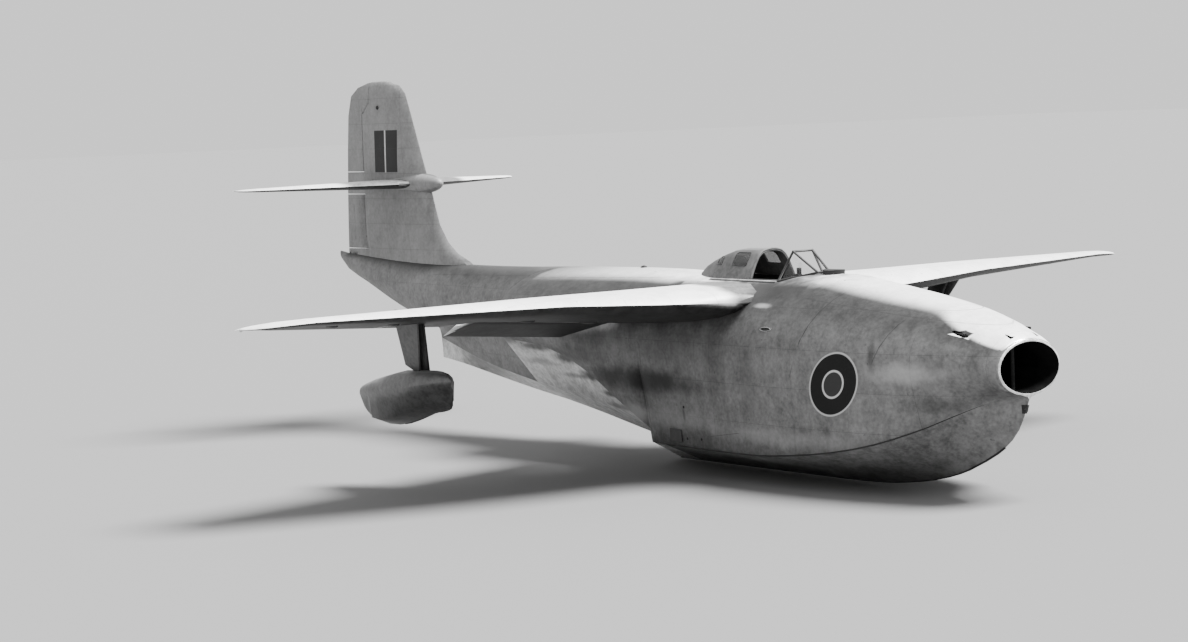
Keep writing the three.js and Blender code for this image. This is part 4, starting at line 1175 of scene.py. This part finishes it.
@dataclass
class Hood:
    """The sliding hood's frame, window rims and glass, and the rails it runs on."""

    windows: tuple = ((4.690, 4.965, 2.602, 2.748), (5.215, 5.325, 2.607, 2.690))
    rim: float = 0.006
    arch_station: float = 4.528
    arch_radius: float = 0.013
    arch_sunk: float = -0.004
    rail_fore: float = 3.985
    rail_aft: float = 5.30
    rail_side: float = 0.392
    rail_radius: float = 0.011
    slot_radius: float = 0.009
    slot_offset: tuple = (0.026, -0.014)

    def build_arch(self, skin: Piece) -> None:
        """Makes the bead round the hood's open front."""
        heights = [2.45 + 0.02 * i for i in range(15)]
        sides = [0.03 * i for i in range(-6, 7)]
        line = [on_side(skin, self.arch_station, height, -1, self.arch_sunk) for height in heights]
        line += [on_top(skin, self.arch_station, side, self.arch_sunk) for side in sides]
        line += [on_side(skin, self.arch_station, height, 1, self.arch_sunk) for height in reversed(heights)]
        keep(bar(line, self.arch_radius, False, 4), "hood_arch", "canopy", "silver_skin", Finish.HOOD)

    def build_windows(self, skin: Piece) -> None:
        """Makes each window's rim, and puts smooth panes in, darkened as painted shade of the cockpit behind.
        """
        for number, (fore, aft, low, high) in enumerate(self.windows):
            middle = ((fore + aft) / 2, (low + high) / 2)
            half = ((aft - fore) / 2 + self.rim, (high - low) / 2 + self.rim)
            for name, sign in SIDES:
                line = []
                for wide, tall in ring(36):
                    square = 1 / max(abs(wide), abs(tall))
                    place = (middle[0] + half[0] * wide * square, middle[1] + half[1] * tall * square)
                    line.append(on_side(skin, *place, sign))
                window = ("fore_", "aft_")[number] + name
                keep(bar(line, self.rim, True), "window_rim_" + window, "canopy", "silver_skin", Finish.DARK)
                node = "canopy_window_" + window
                pane = merged_copy(node)
                smooth(30.0)
                keep(pane, "pane_" + window, "canopy", "clear_glass", Finish.DARK_GLASS, node)

    def build_rails(self) -> None:
        """Makes the rails on the deck and a black bar under each for its slot, as painted shade."""
        deck = bpy.data.objects["skin_hull_cockpit"]
        steps = 14
        for name, sign in SIDES:
            line = []
            for i in range(steps + 1):
                station = self.rail_fore + (self.rail_aft - self.rail_fore) * i / steps
                line.append(on_top(deck, station, sign * self.rail_side, 0.006))
            keep(bar(line, self.rail_radius), "hood_rail_" + name, "airframe", "bright_metal", Finish.RAIL)
            # The black bar under the rail: painted shade of the slot.
            under = [point + Vector((0, sign * self.slot_offset[0], self.slot_offset[1])) for point in line]
            keep(bar(under, self.slot_radius), "rail_slot_" + name, "airframe", "panel_black", Finish.BLACK)

    def build(self) -> None:
        """Makes the hood's parts."""
        skin = bpy.data.objects["skin_canopy_hood"]
        self.build_arch(skin)
        self.build_windows(skin)
        self.build_rails()


@dataclass
class Windscreen:
    """The fixed windscreen's frame and panes, and the gunsight behind it."""

    # The gunsight's base, head and glass: (station, height, size, edge).
    sight: tuple = (
        (4.03, 2.47, (0.09, 0.07, 0.05), 0.012),
        (4.01, 2.53, (0.05, 0.05, 0.08), 0.01),
        (3.985, 2.60, (0.004, 0.06, 0.07), 0.001),
    )

    def build(self) -> None:
        """Makes the windscreen."""
        frame = merged_copy("windscreen_frame")
        smooth(50.0)
        # The frame takes the legs' near-black paint: painted shade.
        keep(frame, "screen_frame", "airframe", "silver_skin", Finish.LEG, "windscreen_frame")
        for side in ("front", "starboard", "port"):
            node = "windscreen_pane_" + side
            pane = merged_copy(node)
            apply_modifier(pane, "BEVEL", width=0.002, segments=2, limit_method="ANGLE")
            keep(pane, "screen_pane_" + side, "airframe", "clear_glass", Finish.GLASS, node)
        base, head, glass = [
            slab(at(station, 0, height), size, edge) for station, height, size, edge in self.sight
        ]
        keep(joined([base, head]), "gunsight", "airframe", "panel_black", Finish.BLACK)
        keep(glass, "gunsight_glass", "airframe", "clear_glass", Finish.GLASS)


@dataclass
class Cockpit:
    """Seat with pads and harness, headrest, panel with dials, consoles and stick."""

    floor: float = 1.320
    seat_half: float = 0.218
    seat_rise: float = 0.18
    back: float = 5.05
    swell: float = 0.012
    fill: float = 0.7
    voxel: float = 0.008
    pressure: float = 4.0
    frames: int = 20
    # The dials: the height of each row, its dials' sides and their radius.
    dial_rows: tuple = (
        (2.27, (-0.19, -0.095, 0.0, 0.095, 0.19), 0.038),
        (2.16, (-0.2, -0.1, 0.0, 0.1, 0.2), 0.042),
        (2.05, (-0.15, -0.05, 0.05, 0.15), 0.03),
    )
    # The pads: name, station, height above the seat, size before it swells and the node it stands for.
    pads: tuple = (
        ("seat_cushion", 4.82, 0.10, (0.42, 0.37, 0.08), ()),
        ("back_cushion", 5.00, 0.42, (0.05, 0.35, 0.50), ()),
        ("headrest_pad", 5.030, 0.802, (0.07, 0.20, 0.17), ("headrest",)),
    )

    def puffed(self, centre: Vector, size: tuple) -> Piece:
        """Swells a block into a stuffed pad with a short cloth simulation.

        Args:
            centre: the pad's middle.
            size: its size before it swells.

        Returns:
            The pad.
        """
        piece = slab(centre, size, min(size) * 0.3, 3)
        apply_modifier(piece, "REMESH", mode="VOXEL", voxel_size=self.voxel)
        before = [point.co.copy() for point in piece.data.vertices]
        select_only(piece)
        cloth = piece.modifiers.new("cloth", "CLOTH")
        cloth.settings.use_pressure = True
        cloth.settings.uniform_pressure_force = self.pressure
        cloth.settings.effector_weights.gravity = 0.0
        for frame in range(1, self.frames + 1):
            bpy.context.scene.frame_set(frame)
        bpy.ops.object.modifier_apply(modifier=cloth.name)
        bpy.context.scene.frame_set(1)
        for point, start in zip(piece.data.vertices, before):
            move = point.co - start
            if move.length > self.swell:
                point.co = start + move * (self.swell / move.length)
        apply_modifier(piece, "SUBSURF", levels=1, render_levels=1)
        bpy.ops.object.shade_smooth()
        return piece

    def build_seat(self) -> None:
        """Makes the bucket seat, its pads, the headrest and the harness."""
        wide = 2 * self.seat_half
        low, back = self.floor + self.seat_rise, self.back
        pieces = [
            slab(at(4.835, 0, low + 0.03), (0.49, wide, 0.03), 0.012),
            slab(at(back + 0.015, 0, low + 0.36), (0.03, wide, 0.70), 0.012),
        ]
        for sign in (-1, 1):
            middle = at(4.84, sign * (self.seat_half - 0.012), low + 0.10)
            pieces.append(slab(middle, (0.46, 0.02, 0.18), 0.009))
            pieces.append(bar([at(4.62, sign * 0.2, low), at(4.62, sign * 0.2, low + 0.18)], 0.012))
            pieces.append(bar([at(5.06, sign * 0.15, self.floor), at(5.06, sign * 0.15, 2.18)], 0.016))
        keep(joined(pieces), "bucket_seat", "airframe", "grey_paint", Finish.GREY, "seat")
        for name, station, height, size, nodes in self.pads:
            pad = self.puffed(at(station, 0, low + height), size)
            keep(pad, name, "airframe", "brown_leather", Finish.LEATHER, *nodes)
        for name, sign in SIDES:
            self.build_strap(name, sign)

    def build_strap(self, name: str, sign: int) -> None:
        """Makes one shoulder strap with its buckle."""
        points = [at(5.055, sign * 0.07, 2.20), at(4.985, sign * 0.08, 2.205), at(4.955, sign * 0.085, 2.12),
                  at(4.950, sign * 0.085, 1.86), at(4.935, sign * 0.075, 1.70), at(4.83, sign * 0.05, 1.662)]
        mesh = bpy.data.meshes.new("strap")
        corners = [point + Vector((0, shift, 0)) for point in points for shift in (-0.022, 0.022)]
        faces = [(i, i + 2, i + 3, i + 1) for i in range(0, len(corners) - 2, 2)]
        mesh.from_pydata(corners, [], faces)
        strap = added("strap", mesh)
        apply_modifier(strap, "SUBSURF", levels=2, render_levels=2)
        apply_modifier(strap, "SOLIDIFY", thickness=0.004, offset=0.0)
        bpy.ops.object.shade_smooth()
        keep(strap, "shoulder_strap_" + name, "airframe", "grey_paint", Finish.WEBBING)
        buckle = slab(at(4.943, sign * 0.085, 1.95), (0.012, 0.056, 0.04), 0.004)
        keep(buckle, "strap_buckle_" + name, "airframe", "bright_metal", Finish.BRIGHT)

    def build_panel(self) -> None:
        """Makes the instrument panel with its dials and the coaming over it."""
        board = slab(at(4.065, 0, 2.145), (0.03, 0.54, 0.39), 0.012)
        keep(board, "dial_board", "airframe", "panel_black", Finish.BLACK, "instrument_panel")
        bezels, faces = [], []
        for height, sides, radius in self.dial_rows:
            for side in sides:
                origin = at(4.081, side, height)
                bore = radius * 0.8
                bezel = ((0, bore), (0, radius), (0.008, radius), (0.010, radius * 0.94),
                         (0.006, radius * 0.82), (0, bore))
                bezels.append(turned(bezel, origin, AFT, 24))
                faces.append(turned(((0, 0), (0.003, 0), (0.003, bore), (0, bore)), origin, AFT, 24))
        keep(joined(bezels), "dial_bezels", "airframe", "grey_paint", Finish.GREY)
        keep(joined(faces), "dial_faces", "airframe", "panel_black", Finish.DIAL)
        coaming = [at(4.10, -0.27, 2.36), at(4.06, -0.15, 2.41), at(4.05, 0, 2.42), at(4.06, 0.15, 2.41),
                   at(4.10, 0.27, 2.36)]
        keep(bar(coaming, 0.022, False, 4), "coaming", "airframe", "brown_leather", Finish.LEATHER)

    def build_controls(self) -> None:
        """Makes the stick with its ring grip, and the side consoles with their levers."""
        column = [at(4.42, 0, self.floor + 0.002), at(4.43, 0, 1.55), at(4.46, 0, 1.84)]
        grip = [at(4.46, 0.055 * wide, 1.895 + 0.055 * high) for wide, high in ring(24)]
        folds = ((0.0, 0.0), (0.0, 0.07), (0.02, 0.07), (0.05, 0.045), (0.07, 0.05), (0.10, 0.03), (0.10, 0.0))
        gaiter = turned(folds, column[0], UP, 24)
        stick = joined([bar(column, 0.016), bar(grip, 0.013, True), gaiter])
        keep(stick, "stick", "airframe", "grey_paint", Finish.BLACK, "control_column")
        for name, sign in SIDES:
            box = slab(at(4.60, sign * 0.262, 1.80), (0.9, 0.07, 0.12), 0.012)
            lever = bar([at(4.45, sign * 0.25, 1.85), at(4.40, sign * 0.25, 1.97)], 0.008)
            knob_profile = ((0, 0), (0, 0.014), (0.02, 0.02), (0.04, 0.014), (0.045, 0))
            knob = turned(knob_profile, at(4.405, sign * 0.25, 1.955), UP, 16)
            keep(joined([box, lever, knob]), "console_" + name, "airframe", "panel_black", Finish.BLACK)

    def build(self) -> None:
        """Makes everything in the cockpit."""
        self.build_seat()
        self.build_panel()
        self.build_controls()


@dataclass
class Trim:
    """Tabs, hinge fairings, lights, knobs and plates on the wings, the tail and the floats."""

    # The hinge fairings: name, station, side and length.
    hinges: tuple = (
        ("flap_hinge_0", 5.70, 1.9, 0.42), ("flap_hinge_1", 5.61, 2.9, 0.42),
        ("aileron_hinge_0", 5.52, 4.9, 0.30), ("aileron_hinge_1", 5.42, 5.8, 0.30),
    )

    def build_knob(self, name: str, place: Vector, out: Vector, radius: float, finish: Finish) -> None:
        """Makes a small domed knob.

        Args:
            name: its name.
            place: its foot.
            out: the way it points.
            radius: its radius.
            finish: its finish.
        """
        r = radius
        profile = ((-0.006, 0), (-0.006, r), (r * 0.2, r), (r * 0.5, r * 0.85), (r * 0.75, r * 0.5),
                   (r * 0.85, 0))
        slot = "clear_glass" if finish is Finish.LENS else "panel_black"
        keep(turned(profile, place, out, 20), name, "airframe", slot, finish)

    def build_fairing(self, name: str, skin: Piece, station: float, side: float, length: float) -> None:
        """Makes a drop-shaped hinge fairing under the wing, ahead of the moving surface.

        Args:
            name: its name.
            skin: the wing's skin.
            station: where it starts.
            side: its side.
            length: its length.
        """
        steps = 12
        shares = [i / steps for i in range(steps + 1)]
        profile = [(length * share, 0.02 * math.sin(math.pi * share ** 0.7)) for share in shares]
        start = on_top(skin, station, side, 0.004, False)
        end = on_top(skin, station + length * 0.9, side, 0.004, False)
        keep(turned(profile, start, end - start, 16), name, "airframe", "silver_skin", Finish.LEG)

    def build_wing(self, name: str, sign: int) -> None:
        """Makes one wing's lamp, cap and hinge fairings."""
        skin = bpy.data.objects["skin_wing_" + name]
        cap = on_top(skin, 5.60, sign * 4.90)
        self.build_knob("filler_cap_" + name, cap, UP, 0.035, Finish.BLACK)
        for hinge, station, side, length in self.hinges:
            self.build_fairing(f"{hinge}_{name}", skin, station, sign * side, length)
        tip = on_side(skin, 5.58, 2.272, sign, -0.02)
        self.build_knob("tip_lamp_" + name, tip, Vector((0.5, sign, 0)), 0.022, Finish.LENS)

    def build_tail(self) -> None:
        """Makes the fin's lamp, the tail lamp and the tabs."""
        fin = bpy.data.objects["skin_fin"]
        for name, sign in SIDES:
            lamp = on_side(fin, 13.813, 4.793, sign)
            self.build_knob("fin_lamp_" + name, lamp, Vector((0, sign, 0)), 0.03, Finish.BLACK)
        self.build_knob("tail_lamp", at(15.235, 0, 2.55), Vector((-0.3, 0, 1)), 0.012, Finish.LENS)
        rudder = bpy.data.objects["skin_rudder_lower"]
        for name, sign in SIDES:
            tab = plate(rudder, at(14.82, sign * 0.3, 3.05), (0.20, 0.55), "Y", 0.005, 0.1, 6)
            keep(tab, "rudder_tab_" + name, "rudder", "silver_skin", Finish.FIN)
            elevator = bpy.data.objects["skin_elevator_" + name]
            tab = plate(elevator, at(14.20, sign * 0.62, 3.9), (0.11, 0.5), "Z", 0.005, 0.1, 6)
            keep(tab, "elevator_tab_" + name, "elevators", "silver_skin", Finish.WING)

    def build_floats(self) -> None:
        """Makes each float's keel strip and inspection covers."""
        for name, sign in SIDES:
            skin = bpy.data.objects["skin_float_" + name]
            low, high = (Vector(corner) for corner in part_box("float_" + name))
            points = []
            for i in range(15):
                station = STEP_STATION - (high.x + (low.x - high.x) * (0.16 + 0.42 * i / 14))
                side = (low.y + high.y) / 2
                points.append(on_top(skin, station, side - sign * 0.07, 0.002, False))
            keep(bar(points, 0.008), "float_keel_" + name, "airframe", "gun_steel", Finish.DARK)
            for number, share in enumerate((0.3, 0.7)):
                side = (low.y + high.y) / 2 + sign * 0.05
                centre = Vector((high.x + (low.x - high.x) * share, side, high.z))
                cover = plate(skin, centre, (0.13, 0.13), "Z", 0.005, 1.0, 8)
                keep(cover, f"float_cover_{number}_{name}", "airframe", "silver_skin", Finish.DOOR)

    def build_fittings(self) -> None:
        """Dresses the mooring eye and the beaching pads."""
        for node in ("mooring_eye", "beaching_pad_starboard", "beaching_pad_port"):
            piece = merged_copy(node)
            finish = Finish.DARK if node == "mooring_eye" else Finish.PAD
            apply_modifier(piece, "BEVEL", width=0.002, segments=2, limit_method="ANGLE")
            keep(piece, "dressed_" + node, "airframe", "heat_stained_steel", finish, node)

    def build(self) -> None:
        """Makes all the small parts."""
        for name, sign in SIDES:
            self.build_wing(name, sign)
        self.build_tail()
        self.build_floats()
        self.build_fittings()


@dataclass
class Studio:
    """The floor, the lights and the camera."""

    picture_width: int = 1188
    sensor: float = 36.0
    camera_ahead: float = 22.586
    camera_side: float = -22.010
    camera_height: float = 4.603
    yaw: float = 54.66
    pitch: float = 4.31
    roll: float = -2.30
    focal_pixels: float = 2776.0
    floor_size: float = 900.0
    floor_drop: float = 0.02
    sky: float = 1.05
    floor_tone: float = 0.172
    sun_place: tuple = (4.0, 5.0, 13.0)
    sun_power: float = 16.0
    sun_spread: float = 30.0

    def add_camera(self) -> None:
        """Places the camera where the fitted lens stands."""
        data = bpy.data.cameras.new("camera")
        data.sensor_width = self.sensor
        data.lens = self.focal_pixels / self.picture_width * self.sensor
        data.clip_end = 2000.0
        camera = added("camera", data)
        yaw, pitch, roll = (math.radians(a) for a in (self.yaw, self.pitch, self.roll))
        back = Vector((math.sin(yaw) * math.cos(pitch), -math.cos(yaw) * math.cos(pitch), math.sin(pitch)))
        right = Vector((math.cos(yaw), math.sin(yaw), 0.0))
        up = back.cross(right)
        rolled_right = right * math.cos(roll) + up * math.sin(roll)
        rolled_up = up * math.cos(roll) - right * math.sin(roll)
        turn = Matrix((rolled_right, rolled_up, back)).transposed().to_4x4()
        place = at(-self.camera_ahead, self.camera_side, self.camera_height)
        camera.matrix_world = Matrix.Translation(place) @ turn
        bpy.context.scene.camera = camera

    def add_sun(self) -> None:
        """Adds the one high, broad, soft light."""
        data = bpy.data.lights.new("key", "SUN")
        data.energy = self.sun_power
        data.angle = math.radians(self.sun_spread)
        light = added("key", data)
        turn = Vector(self.sun_place).to_track_quat("Z", "Y").to_matrix().to_4x4()
        light.matrix_world = Matrix.Translation(Vector(self.sun_place)) @ turn

    def build(self) -> None:
        """Makes the floor, the lights and the camera."""
        bpy.ops.object.select_all(action="DESELECT")
        bpy.ops.mesh.primitive_plane_add(size=self.floor_size, location=(0, 0, -DRAUGHT - self.floor_drop))
        floor = bpy.context.object
        floor.name = "studio_floor"
        floor.data.materials.append(Board("floor_paper").dress(grey(self.floor_tone), 0.95, 0.0))
        self.add_sun()
        world = bpy.data.worlds.new("studio")
        bpy.context.scene.world = world
        world.use_nodes = True
        background = world.node_tree.nodes["Background"]
        background.inputs["Color"].default_value = grey(1.0)
        background.inputs["Strength"].default_value = self.sky
        self.add_camera()
        log.info("studio ready")


def main() -> None:
    """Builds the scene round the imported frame."""
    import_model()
    Studio().build()
    for assembly in (Skins(), HullFittings(), Guns(), JetPipes(), Hood(), Windscreen(), Cockpit(), Trim()):
        assembly.build()


if __name__ == "__main__":
    main()
